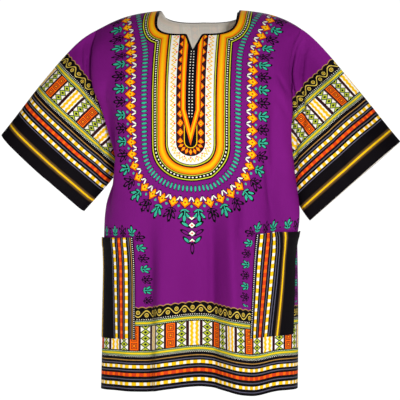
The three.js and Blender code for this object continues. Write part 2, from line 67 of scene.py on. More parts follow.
def point(thing, azimuth, elevation, distance):
    """Puts a camera or lamp at a distance from the aim, turned towards it. Azimuth turns from the
    front towards +X."""
    around, up = math.radians(azimuth), math.radians(elevation)
    level = math.cos(up)
    way = Vector((math.sin(around) * level, -math.cos(around) * level, math.sin(up)))
    thing.location = AIM + way * distance
    thing.rotation_euler = (AIM - thing.location).to_track_quat("-Z", "Y").to_euler()


def set_inputs(node, values):
    for name, value in values.items():
        node.inputs[name].default_value = value


def add_camera():
    camera = add_object("camera", bpy.data.cameras.new("camera"))
    camera.data.lens = LENS
    camera.data.sensor_width = SENSOR
    camera.data.clip_end = FAR
    point(camera, AZIMUTH, ELEVATION, DISTANCE)
    bpy.context.scene.camera = camera


def add_area_light(name, azimuth, elevation, distance, size, power):
    light = bpy.data.lights.new(name, "AREA")
    light.shape = "DISK"
    light.size = size
    light.energy = power
    point(add_object(name, light), azimuth, elevation, distance)


def add_world(seen, lighting):
    """An even white surround, brighter where it is seen than in the light it gives."""
    world = bpy.data.worlds.new("studio")
    world.use_nodes = True
    nodes, links = world.node_tree.nodes, world.node_tree.links
    background = nodes["Background"]
    background.inputs["Color"].default_value = WHITE
    path = nodes.new("ShaderNodeLightPath")
    strength = nodes.new("ShaderNodeMapRange")
    set_inputs(strength, {"To Min": lighting, "To Max": seen})
    links.new(path.outputs["Is Camera Ray"], strength.inputs["Value"])
    links.new(strength.outputs["Result"], background.inputs["Strength"])
    bpy.context.scene.world = world


def add_floor():
    bpy.ops.mesh.primitive_plane_add(size=FLOOR_SIZE, location=(0, 0, FLOOR_Z))
    floor = bpy.context.object
    floor.name = "floor"
    material = bpy.data.materials.new("floor")
    material.use_nodes = True
    shader = material.node_tree.nodes["Principled BSDF"]
    set_inputs(shader, {
        "Base Color": FLOOR_COLOUR,
        "Roughness": 0.9,
        "Emission Color": WHITE,
        "Emission Strength": FLOOR_GLOW,
    })
    floor.data.materials.append(material)


add_camera()
add_world(seen=1.05, lighting=0.07)
add_area_light("key", 21, 14, 3.6, 0.5, 86)
add_area_light("fill", -70, 6, 3.4, 0.7, 8)
add_area_light("back", 180, 40, 3.2, 1.8, 40)
add_floor()
bpy.context.scene.view_settings.view_transform = "Standard"


# ---- the garment's sizes
# The same driving dimensions and tables as the solids have.
def table(columns, *rows):
    return dict(zip(columns.split(), np.array(rows, float).T))


def named(columns, *rows):
    return [Spec(**dict(zip(columns.split(), row))) for row in rows]


WALL = 1.2
SEAM_HALF_GAP = 0.2
SLEEVE_GAP = 0.12  # a closed seam; the solids keep further apart
TOP_Z, UNDERARM_Z = 6, -320
NECK_HALF_WIDTH = 80
SLIT_HALF_WIDTH, SLIT_DEPTH = 15, 33
POCKET_LIFT, POCKET_GAPE, GAPE_ROWS = 0.4, 2.2, 2  # the mouth gapes over so many rows
TUCK_FROM = math.radians(70)

UPPER_ROWS, LOWER_ROWS = 10, 14  # rows of the solids, which the finer rows here divide
SLEEVE_ROWS = 9
POCKET_FIRST_ROW = UPPER_ROWS + 4
POCKET_LAST_ROW = POCKET_FIRST_ROW + 6
FINE_ROWS = 6  # finer rows to each
UNDERARM_ROW = UPPER_ROWS * FINE_ROWS
SETTLING = 4  # rounds in which a row's places and the widths at their heights come to agree
STEPS = 240  # fine steps along half a row before it is resampled, half of them at the neck

SECTIONS = table(
    "z half aside front back square",
    (0, 206, 0, 104, 88, 2.5),
    (-38, 206, -4, 109, 92, 2.5),
    (-75, 205, -13, 117, 100, 2.6),
    (-110, 203, -15, 123, 107, 2.7),
    (-180, 199, -7, 130, 114, 2.8),
    (-240, 190, -2, 131, 115, 2.8),
    (-290, 186, 0, 129, 113, 2.7),
    (-340, 188, 0, 125, 109, 2.5),
    (-400, 192, 1, 121, 105, 2.4),
    (-520, 195, 1, 116, 103, 2.3),
    (-650, 197, 0, 117, 108, 2.3),
    (-770, 198, -2, 121, 113, 2.3),
)
SHOULDER = table(
    "x z", (0, 3), (80, 0), (115, -4), (144, -10), (172, -20), (206, -38), (240, -62)
)
ARMHOLE_TUCK = table(
    "z inward forward",
    (0, 0, 0), (-38, 0, 0), (-80, 9, 27), (-130, 15, 38), (-220, 18, 37),
    (-280, 20, 20), (-320, 20, 0), (-360, 12, 0), (-420, 0, 0), (-800, 0, 0),
)
FRONT_HEM = table(
    "round z",
    (-1, -757), (-0.56, -753), (-0.3, -752), (-0.11, -743), (0.03, -738),
    (0.16, -744), (0.39, -755), (0.66, -749), (1, -752),
)
BACK_HEM = table(
    "round z",
    (-1, -757), (-0.62, -760), (-0.3, -750), (0.02, -757), (0.36, -748), (0.7, -757), (1, -752),
)

# Folds as the solids have them: between two places, across (a share of the half panel) and z, with a
# half width (the same share), a depth (+ is a ridge) and the height over which each end fades.
FOLD = "across z end_across end_z width depth fade"
FRONT_FOLDS = named(
    FOLD,
    (-0.4, -330, -0.38, -1100, 0.1, -13, 260),
    (-0.16, -320, -0.25, -1100, 0.12, 13, 300),
    (-0.66, -480, -0.62, -1100, 0.09, -6, 200),
    (0.03, -300, 0.14, -1100, 0.12, -18, 260),
    (0.29, -270, 0.44, -1100, 0.11, 22, 300),
    (0.62, -460, 0.62, -1100, 0.1, -7, 200),
    (0.58, -240, 0.64, -480, 0.1, -9, 90),
    (0.86, -230, 0.88, -500, 0.1, 11, 90),
    (-0.84, -230, -0.78, -450, 0.1, -7, 90),
    (0.6, -40, 0.72, -230, 0.07, -4.5, 60),
    (-0.66, -60, -0.78, -260, 0.08, -4, 60),
)
# Creases that only the cloth has: sharper folds, and small shifts of those of the solids.
FRONT_CREASES = named(
    FOLD,
    (0.15, -340, 0.2, -1100, 0.05, -15, 160),
    (0.27, -320, 0.39, -1100, 0.05, 14, 160),
    (-0.33, -380, -0.34, -1100, 0.05, -8, 160),
    (-0.23, -380, -0.28, -1100, 0.05, 5, 160),
    (0.35, -330, 0.37, -470, 0.025, -8, 50),
    (0.56, -260, 0.7, -420, 0.04, -6, 60),
    (-0.9, -30, -0.92, -210, 0.09, 9, 60),
    (-0.86, -140, -0.85, -390, 0.13, -27, 90),
    (0.74, -150, 0.66, -480, 0.07, -14, 90),
    (0.94, -130, 0.86, -480, 0.06, 9, 90),
    (-0.9, -300, -0.72, -420, 0.03, -3, 60),
    (0.74, -120, 0.88, -175, 0.03, -3.5, 24),
    (0.7, -150, 0.9, -230, 0.035, -3.5, 40),
    (-0.72, -130, -0.88, -210, 0.035, -3, 36),
    (-0.05, -560, -0.02, -700, 0.02, -1.5, 60),
    (-0.42, -470, -0.47, -700, 0.03, 2, 90),
)
BACK_CREASES = named(
    FOLD,
    (-0.3, -330, -0.34, -1100, 0.05, -5, 200),
    (0.34, -300, 0.37, -1100, 0.05, -6, 200),
    (0.1, -260, 0.16, -560, 0.03, -3, 90),
    (-0.14, -300, -0.1, -640, 0.03, -2.5, 100),
    (0.86, -230, 0.55, -400, 0.04, -4, 60),
    (-0.84, -250, -0.58, -420, 0.04, -4, 60),
    (-0.9, -60, -0.9, -290, 0.025, -6, 60),
    (0.9, -50, 0.91, -270, 0.025, -6, 50),
)
BACK_FOLDS = named(
    FOLD,
    (-0.62, -240, -0.6, -1100, 0.15, 15, 380),
    (-0.33, -300, -0.36, -1100, 0.12, -12, 300),
    (0, -190, 0.04, -1100, 0.15, 14, 330),
    (0.34, -280, 0.36, -1100, 0.13, -14, 300),
    (0.66, -230, 0.63, -1100, 0.15, 15, 380),
    (-0.6, -50, -0.76, -250, 0.08, -6, 60),
    (0.64, -45, 0.75, -270, 0.08, -6, 60),
)

SLEEVES = named(
    "node side cuff_top cuff_bottom",
    ("left_sleeve", -1, (404, 6, -248), (232, -20, -401)),
    ("right_sleeve", 1, (397, 6, -262), (222, -20, -417)),
)
CUFF = table(
    "down half",
    (0, 0), (0.02, 20), (0.07, 34), (0.16, 45), (0.3, 48),
    (0.5, 40), (0.72, 28), (0.9, 18), (0.97, 12), (1, 0),
)
ARM_AXIS = np.array((0.665, 0, -0.747))
LEAVING = table(
    "round x y z pull",
    (0, 0.86, 0, -0.51, 175),
    (0.2, 0.88, -0.08, -0.47, 150),
    (0.5, 0.85, -0.1, -0.5, 120),
    (0.8, 0.7, -0.08, -0.7, 90),
    (1, 0.45, 0, -0.89, 60),
)
CUFF_PULL = 1.05
# How deep the armhole seams sink between the cloth on both sides of them, and over what width.
SEAM_SINK = table("z depth", (0, 0), (-46, 0), (-72, 12), (-110, 22), (-240, 20), (-320, 0), (-800, 0))
SEAM_BANK = {"panel": 4, -1: 11, 1: 38}
# How much the cloth swells over the arm along each sleeve's top line, and the share of its depth.
SLEEVE_SWELL = {
    -1: table("along out", (0, 0), (0.25, 5), (0.6, 6), (1, 3)),
    1: table("along out", (0, 0), (0.4, 0), (0.75, 2.5), (1, 2)),
}
SWELL_WIDTH = 0.2
# Folds of the sleeves: of the solids first, then those that only the cloth has.
SLEEVE_FOLDS = named(
    "side facing round along end_round end_along width depth",
    (1, -1, 0.12, 0.1, 0.62, 0.34, 0.1, -7),
    (1, -1, 0.2, 0.42, 0.55, 1.4, 0.12, 6),
    (-1, -1, 0.1, 0.16, 0.6, 0.3, 0.1, -6),
    (-1, -1, 0.75, 0.1, 0.45, 1.4, 0.13, 6),
    (1, 1, 0.7, 0.05, 0.4, 1.3, 0.12, -8),
    (1, 1, 0.3, 0.1, 0.25, 0.9, 0.12, 6),
    (-1, 1, 0.66, 0.05, 0.5, 1.3, 0.13, -8),
    (-1, 1, 0.36, 0.05, 0.2, 0.9, 0.12, 6),
    (1, -1, 0.15, 0.03, 0.62, 0.1, 0.16, -14),
    (1, -1, 0.1, 0.05, 0.12, 0.95, 0.13, -9),
    (1, -1, 0.08, 0.14, 0.5, 0.3, 0.03, -3.5),
    (1, -1, 0.3, 0.08, 0.75, 0.3, 0.035, -4),
    (1, -1, 0.55, 0.05, 0.9, 0.5, 0.04, -4),
    (1, -1, 0.36, 0.35, 0.62, 1.2, 0.03, -2.5),
    (-1, -1, 0.12, 0.1, 0.5, 0.22, 0.03, -3.5),
    (-1, -1, 0.35, 0.06, 0.8, 0.3, 0.035, -4),
    (-1, -1, 0.6, 0.06, 0.92, 0.5, 0.04, -4),
    (-1, -1, 0.5, 0.4, 0.66, 1.2, 0.03, -2.5),
    (1, 1, 0.2, 0.12, 0.6, 0.4, 0.035, -4),
    (-1, 1, 0.2, 0.12, 0.6, 0.4, 0.035, -4),
)
POCKETS = {
    -1: Spec(node="left_pocket", top=-452, bottom=-652, inner=(0.475, 0.465), outer=(0.885, 0.885)),
    1: Spec(node="right_pocket", top=-437, bottom=-640, inner=(0.485, 0.43), outer=(0.915, 0.85)),
}
PANELS = {
    "front": Spec(
        node="front_panel", facing=-1, dome=178, neck_drop=52, neck_square=4, slit=SLIT_DEPTH,
        hem=FRONT_HEM, folds=FRONT_FOLDS + FRONT_CREASES, tuck=1,
    ),
    "back": Spec(
        node="back_panel", facing=1, dome=120, neck_drop=24, neck_square=2.6, slit=0,
        hem=BACK_HEM, folds=BACK_FOLDS + BACK_CREASES, tuck=0.95,
    ),
}
# Fine columns of half a panel: the slit, the rest of the neck, inside the pocket, the pocket, outside.
COLUMNS = dict(slit=4, neck=24, inside=10, pocket=20, outside=18)
NECK_COLUMNS = COLUMNS["slit"] + COLUMNS["neck"]
NECK_FAN = Spec(wider=30, full_row=3, last_row=11, square=2.2, round_row=4, slit_rows=6)
UPPER_CROWDING = 1.45  # of the upper rows, towards the shoulder
OUTSIDE_CROWDING = 1.5  # of the columns, towards the side seam and the armhole
SLEEVE_CROWDING, CROWDING_SHARE = 1.5, 0.75  # of the sleeve's rows, towards the armhole
FOLD_EDGE_POWER = 10
SLEEVE_FOLD_FADE = Spec(armhole=0.12, lines=0.1, ends=0.2)


# ---- numbers
def mix(a, b, t):
    return a + (b - a) * t


def clamp(t):
    return np.clip(t, 0, 1)


def smooth(t):
    t = clamp(t)
    return t * t * (3 - 2 * t)


def look_up(source, column, at):
    """A column of a table on a smooth curve through its rows; the first column is the key."""
    key = next(iter(source))
    xs, ys = source[key], source[column]
    if xs[-1] < xs[0]:
        xs, ys = xs[::-1], ys[::-1]
    secant = np.diff(ys) / np.diff(xs)
    a, b = secant[:-1], secant[1:]
    same = a * b > 0
    inner = np.where(same, 2 * a * b / np.where(same, a + b, 1), 0)
    slope = np.concatenate((secant[:1], inner, secant[-1:]))
    at = np.clip(at, xs[0], xs[-1])
    i = np.clip(np.searchsorted(xs, at, side="right") - 1, 0, len(xs) - 2)
    span = xs[i + 1] - xs[i]
    t = (at - xs[i]) / span
    value = (1 + 2 * t) * (1 - t) ** 2 * ys[i] + t * t * (3 - 2 * t) * ys[i + 1]
    return value + span * (t * (1 - t) ** 2 * slope[i] - t * t * (1 - t) * slope[i + 1])


def size_of(vectors):
    return np.linalg.norm(vectors, axis=-1)


def unit(vectors):
    return vectors / np.maximum(size_of(vectors)[..., None], TINY)


def running_lengths(grid, axis=0):
    """Lengths from the start of a line of points, or along the rows or columns of a grid."""
    steps = size_of(np.diff(grid, axis=axis))
    start = np.zeros_like(np.take(steps, [0], axis=axis))
    return np.concatenate((start, np.cumsum(steps, axis=axis)), axis=axis)


def resample(line, lengths, at):
    return np.stack([np.interp(at, lengths, column) for column in line.T], axis=1)


def grid_normals(grid, sense, ring=False):
    down = np.empty_like(grid)
    down[1:-1] = grid[2:] - grid[:-2]
    down[0], down[-1] = grid[1] - grid[0], grid[-1] - grid[-2]
    if ring:
        along = np.roll(grid, -1, axis=1) - np.roll(grid, 1, axis=1)
    else:
        along = np.empty_like(grid)
        along[:, 1:-1] = grid[:, 2:] - grid[:, :-2]
        along[:, 0], along[:, -1] = grid[:, 1] - grid[:, 0], grid[:, -1] - grid[:, -2]
    return unit(np.cross(down, along)) * sense


# ---- the body's two panels
def neck_half_width(row):
    narrowing = (NECK_FAN.last_row - row) / (NECK_FAN.last_row - NECK_FAN.full_row)
    return NECK_HALF_WIDTH + NECK_FAN.wider * smooth(row / NECK_FAN.full_row) * smooth(narrowing)


def neck_squareness(panel, row):
    return mix(panel.neck_square, NECK_FAN.square, smooth(row / NECK_FAN.round_row))


def shoulder_z(x):
    return look_up(SHOULDER, "z", np.abs(x))


def top_edge_z(panel, row, x):
    out = clamp(np.abs(x) / neck_half_width(row))
    power = neck_squareness(panel, row)
    neck = panel.neck_drop * (1 - out**power) ** (1 / power)
    slit = panel.slit * clamp(1 - np.abs(x) / SLIT_HALF_WIDTH)
    return shoulder_z(x) - neck - slit * clamp(1 - row / NECK_FAN.slit_rows)


def upper_share(row):
    return (row / UPPER_ROWS) ** UPPER_CROWDING


def row_z(panel, row, x, side, turn):
    if row <= UPPER_ROWS:
        return mix(top_edge_z(panel, row, x), UNDERARM_Z, upper_share(row))
    across = smooth((1 + side * turn) / 2)
    stops = (
        (UPPER_ROWS, UNDERARM_Z + 0 * turn),
        (POCKET_FIRST_ROW, mix(POCKETS[-1].top, POCKETS[1].top, across)),
        (POCKET_LAST_ROW, mix(POCKETS[-1].bottom, POCKETS[1].bottom, across)),
        (UPPER_ROWS + LOWER_ROWS, look_up(panel.hem, "z", side * turn)),
    )
    for (row_a, a), (row_b, b) in zip(stops, stops[1:]):
        if row <= row_b:
            return mix(a, b, (row - row_a) / (row_b - row_a))
    return stops[-1][1]


def body_points(panel, side, x, z, angle):
    square = look_up(SECTIONS, "square", z)
    tuck = clamp((angle - TUCK_FROM) / (QUARTER - TUCK_FROM)) ** 2
    depth = "front" if panel.facing < 0 else "back"
    deep = look_up(SECTIONS, depth, z) * np.maximum(0, np.cos(angle)) ** (2 / square)
    y = deep + tuck * panel.tuck * look_up(ARMHOLE_TUCK, "forward", z)
    out = x - tuck * look_up(ARMHOLE_TUCK, "inward", z)
    below = clamp((shoulder_z(x) - z) / panel.dome)
    dome = np.sqrt(1 - (1 - below) ** 2)
    aside = look_up(SECTIONS, "aside", z) * np.sin(angle) ** 3
    return np.stack((side * out + aside, panel.facing * (y * dome + SEAM_HALF_GAP), z), axis=1)


def row_at_x(panel, row, side, x):
    angle = np.zeros_like(x)
    for _ in range(SETTLING):
        z = row_z(panel, row, x, side, angle / QUARTER)
        share = clamp(x / look_up(SECTIONS, "half", z))
        angle = np.arcsin(share ** (look_up(SECTIONS, "square", z) / 2))
    return angle, z


# Above the pockets, their columns keep to these shares of the way from the neck to the side.
PLAIN_INNER, PLAIN_OUTER, PLAIN_ROWS = 0.2, 0.6, 2


def half_row(panel, row, side):
    """Half a row at the fine columns: points with their angle round the body as a fourth number, and
    their shares of the half panel."""
    width = neck_half_width(row)
    swing = np.linspace(0, QUARTER, STEPS // 2 + 1)
    x = width * np.sin(swing) ** (2 / neck_squareness(panel, row))
    angle, z = row_at_x(panel, row, side, x)
    neck_part = np.column_stack((body_points(panel, side, x, z, angle), side * angle))
    angle = np.linspace(angle[-1], QUARTER, STEPS // 2 + 1)[1:]
    x = np.full_like(angle, width)
    for _ in range(SETTLING):
        z = row_z(panel, row, x, side, angle / QUARTER)
        x = look_up(SECTIONS, "half", z) * np.sin(angle) ** (2 / look_up(SECTIONS, "square", z))
    side_part = np.column_stack((body_points(panel, side, x, z, angle), side * angle))
    line = np.concatenate((neck_part, side_part))
    lengths = running_lengths(line[:, :3])
    whole, neck = lengths[-1], lengths[STEPS // 2]
    slit = np.interp(SLIT_HALF_WIDTH, np.abs(line[: STEPS // 2, 0]), lengths[: STEPS // 2])
    low = smooth((row - PLAIN_ROWS) / UPPER_ROWS)
    down = clamp((row - POCKET_FIRST_ROW) / (POCKET_LAST_ROW - POCKET_FIRST_ROW))
    pocket = POCKETS[side]
    inner = mix(mix(neck, whole, PLAIN_INNER), whole * mix(*pocket.inner, down), low)
    outer = mix(mix(neck, whole, PLAIN_OUTER), whole * mix(*pocket.outer, down), low)
    stops = (0, slit, neck, inner, outer, whole)
    at = [0]
    for part, a, b in zip(COLUMNS, stops, stops[1:]):
        way = np.linspace(0, 1, COLUMNS[part] + 1)[1:]
        at.extend(mix(a, b, 1 - (1 - way) ** OUTSIDE_CROWDING if part == "outside" else way))
    return resample(line, lengths, at), side * np.array(at) / whole


def fold_depth(folds, across, z):
    edge = 1 - np.abs(across) ** FOLD_EDGE_POWER
    total = np.zeros_like(z)
    for fold in folds:
        way = (fold.z - z) / (fold.z - fold.end_z)
        middle = mix(fold.across, fold.end_across, way)
        ends = smooth((fold.z - z) / fold.fade) * smooth((z - fold.end_z) / fold.fade)
        total += edge * fold.depth * ends * np.exp(-(((across - middle) / fold.width) ** 2))
    return total


def seam_sink(distance, z, facing):
    """How the cloth dips into the shirt beside an armhole seam."""
    dip = look_up(SEAM_SINK, "depth", z) * np.exp(-distance / SEAM_BANK["panel"])
    return dip[..., None] * (0, -facing, 0)


def panel_grid(panel):
    points, shares = [], []
    for k in range(UNDERARM_ROW + LOWER_ROWS * FINE_ROWS + 1):
        row = k / FINE_ROWS
        left, left_share = half_row(panel, row, -1)
        right, right_share = half_row(panel, row, 1)
        points.append(np.concatenate((left[:0:-1], right)))
        shares.append(np.concatenate((left_share[:0:-1], right_share)))
    grid, angle, share = np.array(points)[..., :3], np.array(points)[..., 3], np.array(shares)
    z = grid[..., 2]
    depth = fold_depth(panel.folds, share, z)
    grid = grid + grid_normals(grid, -panel.facing) * depth[..., None]
    inwards = running_lengths(grid, axis=1)
    to_seam = np.minimum(inwards, inwards[:, -1:] - inwards)
    return grid, grid + seam_sink(to_seam, z, panel.facing), angle, z


# ---- sleeves
def cuff_half(height):
    """Half of the cuff's loop: ways down and half thicknesses, spaced as the armhole's rows are."""
    down = (1 - np.cos(np.linspace(0, math.pi, STEPS))) / 2
    line = np.stack((down * height, look_up(CUFF, "half", down), 0 * down), axis=1)
    lengths = running_lengths(line)
    rows = np.arange(UNDERARM_ROW + 1) / FINE_ROWS
    return resample(line, lengths, lengths[-1] * upper_share(rows))


def sleeve_grid(sleeve, front, back):
    """Rows run round the arm from the underarm by the back, the shoulder and the front. front and back
    are the panels' grids before and after their seams sink."""
    side, last = sleeve.side, UNDERARM_ROW
    edge = -1 if side > 0 else 0
    top, bottom = np.array(sleeve.cuff_top), np.array(sleeve.cuff_bottom)
    downwards = unit(bottom - top)
    half = cuff_half(size_of(bottom - top))
    starts, ends, leavings, rounds, sinks = [], [], [], [], []
    for (panel, sunk), towards, steps in (
        (back, 1, range(last, -1, -1)),
        (front, -1, range(1, last)),
    ):
        for step in steps:
            start = panel[step, edge] * (side, 1, 1)
            sinks.append((sunk[step, edge] - panel[step, edge]) * (side, 1, 1))
            if step in (0, last):
                start[1] = 0
            share = upper_share(step / FINE_ROWS)
            x, y, z = (look_up(LEAVING, axis, share) for axis in "xyz")
            leaving = unit(np.array([x, -towards * y, z]))
            starts.append(start + leaving * SLEEVE_GAP)
            ends.append(top + downwards * half[step, 0] + (0, towards * half[step, 1], 0))
            leavings.append(leaving)
            rounds.append(share)
    starts, ends, rounds = np.array(starts), np.array(ends), np.array(rounds)
    spans = size_of(ends - starts)
    pull = np.array(leavings) * look_up(LEAVING, "pull", rounds)[:, None]
    into = ARM_AXIS * (CUFF_PULL * spans)[:, None]
    along = np.linspace(0, 1, SLEEVE_ROWS * FINE_ROWS + 1)
    along = mix(along, along**SLEEVE_CROWDING, CROWDING_SHARE)
    t = along[:, None, None]
    grid = (1 + 2 * t) * (1 - t) ** 2 * starts + t * (1 - t) ** 2 * pull
    grid = grid + t * t * (3 - 2 * t) * ends - t * t * (1 - t) * into
    grid = grid + np.array(sinks) * np.exp(-(t * spans[None, :, None]) / SEAM_BANK[side])
    grid[..., 0] *= side
    sense = -side
    depth = sleeve_fold_depth(side, along[:, None], rounds[None, :], last)
    swell = look_up(SLEEVE_SWELL[side], "out", along)[:, None] * np.exp(-((rounds / SWELL_WIDTH) ** 2))
    normals = grid_normals(grid, sense, ring=True)
    return grid + normals * (depth + swell)[..., None], sense


def sleeve_fold_depth(side, along, rounds, last):
    fade = SLEEVE_FOLD_FADE
    edges = smooth(along / fade.armhole) * smooth(rounds / fade.lines)
    edges = edges * smooth((1 - rounds) / fade.lines)
    behind = np.arange(2 * last)[None, :] <= last
    total = 0 * edges
    for fold in SLEEVE_FOLDS:
        if fold.side != side:
            continue
        way = (along - fold.along) / (fold.end_along - fold.along)
        off = (rounds - mix(fold.round, fold.end_round, way)) / fold.width
        ends = smooth((way + fade.ends) / (2 * fade.ends))
        ends = ends * smooth((1 + fade.ends - way) / (2 * fade.ends))
        here = behind if fold.facing > 0 else ~behind
        total = total + here * edges * ends * fold.depth * np.exp(-off * off)
    return total


# ---- places in the flat cloth
LATTICE_ACROSS, LATTICE_UP = 61, 327
YOKE_HALF = 78  # also the radius of its round foot
YOKE_FOOT_Z = {"front": -338, "back": -190}
GUIDE_LEAN = Spec(out=42, below=150, over=190)  # the halo's line leans out below the shoulder
GUIDE_PAST, GUIDE_STEPS = 80, (40, 100)  # how far it runs on, and its points at the foot and above
NO_CORNER = 1e-6
POCKET_HALO = 12  # how far out the sprigs beside the pockets have their even spacing
POCKET_SPRIGS = Spec(foot=2, pitch=21, size=0.85, above=8)  # above the border's edge they stop


def lattice(panel):
    """Lengths along the unfolded upper panel, over shares of its half width and heights: out from its
    middle, and up from the underarm's level."""
    shares = 1 - (1 - np.linspace(0, 1, LATTICE_ACROSS)) ** 2
    z = np.linspace(UNDERARM_Z, TOP_Z, LATTICE_UP)
    half, square = look_up(SECTIONS, "half", z), look_up(SECTIONS, "square", z)
    points = np.array([
        body_points(panel, 1, share * half, z, np.arcsin(share ** (square / 2))) for share in shares
    ])
    return running_lengths(points), running_lengths(points, axis=1)


def on_lattice(values, share, z):
    a = (1 - np.sqrt(1 - clamp(share))) * (LATTICE_ACROSS - 1)
    h = clamp((z - UNDERARM_Z) / (TOP_Z - UNDERARM_Z)) * (LATTICE_UP - 1)
    i = np.minimum(a.astype(int), LATTICE_ACROSS - 2)
    j = np.minimum(h.astype(int), LATTICE_UP - 2)
    low = mix(values[i, j], values[i, j + 1], h - j)
    return mix(low, mix(values[i + 1, j], values[i + 1, j + 1], h - j), a - i)


def panel_flat(panel, grid, angle, z):
    """How far each point of a panel was out from its middle and up from its hem, in the flat cloth."""
    middle = grid.shape[1] // 2
    arc = running_lengths(grid, axis=1)
    arc -= arc[:, middle : middle + 1]
    share = np.sin(np.abs(angle)) ** (2 / look_up(SECTIONS, "square", z))
    lengths_out, lengths_up = lattice(panel)
    level = np.sign(angle) * on_lattice(lengths_out, share, z)
    row = np.arange(len(grid))[:, None] / FINE_ROWS
    out = mix(level, arc, smooth((row - UPPER_ROWS) / (POCKET_FIRST_ROW - UPPER_ROWS)))

    up = running_lengths(grid[::-1])[::-1]
    for k in range(UNDERARM_ROW):
        base = np.interp(out[k], out[UNDERARM_ROW], up[UNDERARM_ROW])
        up[k] = base + on_lattice(lengths_up, share[k], z[k])
    return np.stack((out, up), axis=2)


def distance_to_line(places, line):
    """Shortest distance in the flat cloth from each place to a polyline."""
    best = np.full(places.shape[:2], np.inf)
    for a, b in zip(line, line[1:]):
        along = b - a
        t = clamp(((places - a) @ along) / max(along @ along, TINY))
        best = np.minimum(best, size_of(places - a - t[..., None] * along))
    return best


def halo_guide(centre, top):
    """The line that the halo follows down one side in the flat cloth, from the middle of the yoke's
    round foot up to the shoulder, where it leans out."""
    turn = np.linspace(0, QUARTER, GUIDE_STEPS[0])[:-1]
    foot = np.stack((YOKE_HALF * np.sin(turn), centre - YOKE_HALF * np.cos(turn)), axis=1)
    up = np.linspace(centre, top + GUIDE_PAST, GUIDE_STEPS[1])
    lean = GUIDE_LEAN.out * smooth((up - (top - GUIDE_LEAN.below)) / GUIDE_LEAN.over)
    return np.concatenate((foot, np.stack((YOKE_HALF + lean, up), axis=1)))


def beside_guide(places, guide):
    """Signed distance outside a guide line, and the way along it to the nearest point of it."""
    here = np.stack((np.abs(places[..., 0]), places[..., 1]), axis=2)
    away, along = np.full(here.shape[:2], np.inf), np.zeros(here.shape[:2])
    lengths = running_lengths(guide)
    for k, (a, b) in enumerate(zip(guide, guide[1:])):
        step = b - a
        t = clamp(((here - a) @ step) / (step @ step))
        off = here - a - t[..., None] * step
        distance = size_of(off)
        nearer = distance < np.abs(away)
        outside = step[1] * off[..., 0] - step[0] * off[..., 1] > 0
        away = np.where(nearer, np.where(outside, distance, -distance), away)
        along = np.where(nearer, lengths[k] + t * size_of(step), along)
    return np.stack((away, along), axis=2)


def round_pocket(places, corners):
    """Distance outside a pocket's box, which has no foot, and the way along its outline."""
    (left, _), (right, top) = corners.min(axis=0), corners.max(axis=0)
    off = places[..., 0] - (left + right) / 2
    aside, above = np.abs(off) - (right - left) / 2, places[..., 1] - top
    away = np.maximum(aside, above)
    corner = (aside > 0) & (above > 0)
    away = np.where(corner, np.hypot(aside, above), away)
    turn = np.arctan2(np.maximum(above, 0), np.maximum(aside, NO_CORNER))
    along = np.where(above > aside, (right - left) / 2 - np.abs(off), np.minimum(above, 0))
    along = np.where(corner, turn * POCKET_HALO, along + (above > aside) * POCKET_HALO * QUARTER)
    return np.stack((away, along), axis=2)


ROUND_AT = 0.6  # how far down a sleeve its lengths round the arm are measured


def sleeve_flat(grid):
    """How far each point of a sleeve was round from its top line (front +) and up from its cuff."""
    ring = np.concatenate((grid, grid[:, :1]), axis=1)
    up = running_lengths(ring[::-1])[::-1]
    around = running_lengths(ring[int(len(grid) * ROUND_AT)])
    around -= around[len(around) // 2]
    return np.stack((np.broadcast_to(around, up.shape), up), axis=2)


# ---- shells
# The bake layout: the outer face, the inner face beside it and the rims in low strips below them.
# The side rims' strips are thin, and lie within those of the first and last rows.
OUTER_SHARE, INNER_FROM, INNER_SHARE = 0.66, 0.68, 0.3  # of its width
RIM_SHARE, RIM_LONG, RIM_STEP = 0.015, 0.48, 0.5
ROW_RIM, SIDE_RIM = (0, RIM_SHARE * 0.8 * 2), (RIM_SHARE, RIM_SHARE * 0.8)
SHARP_ANGLE = math.radians(50)


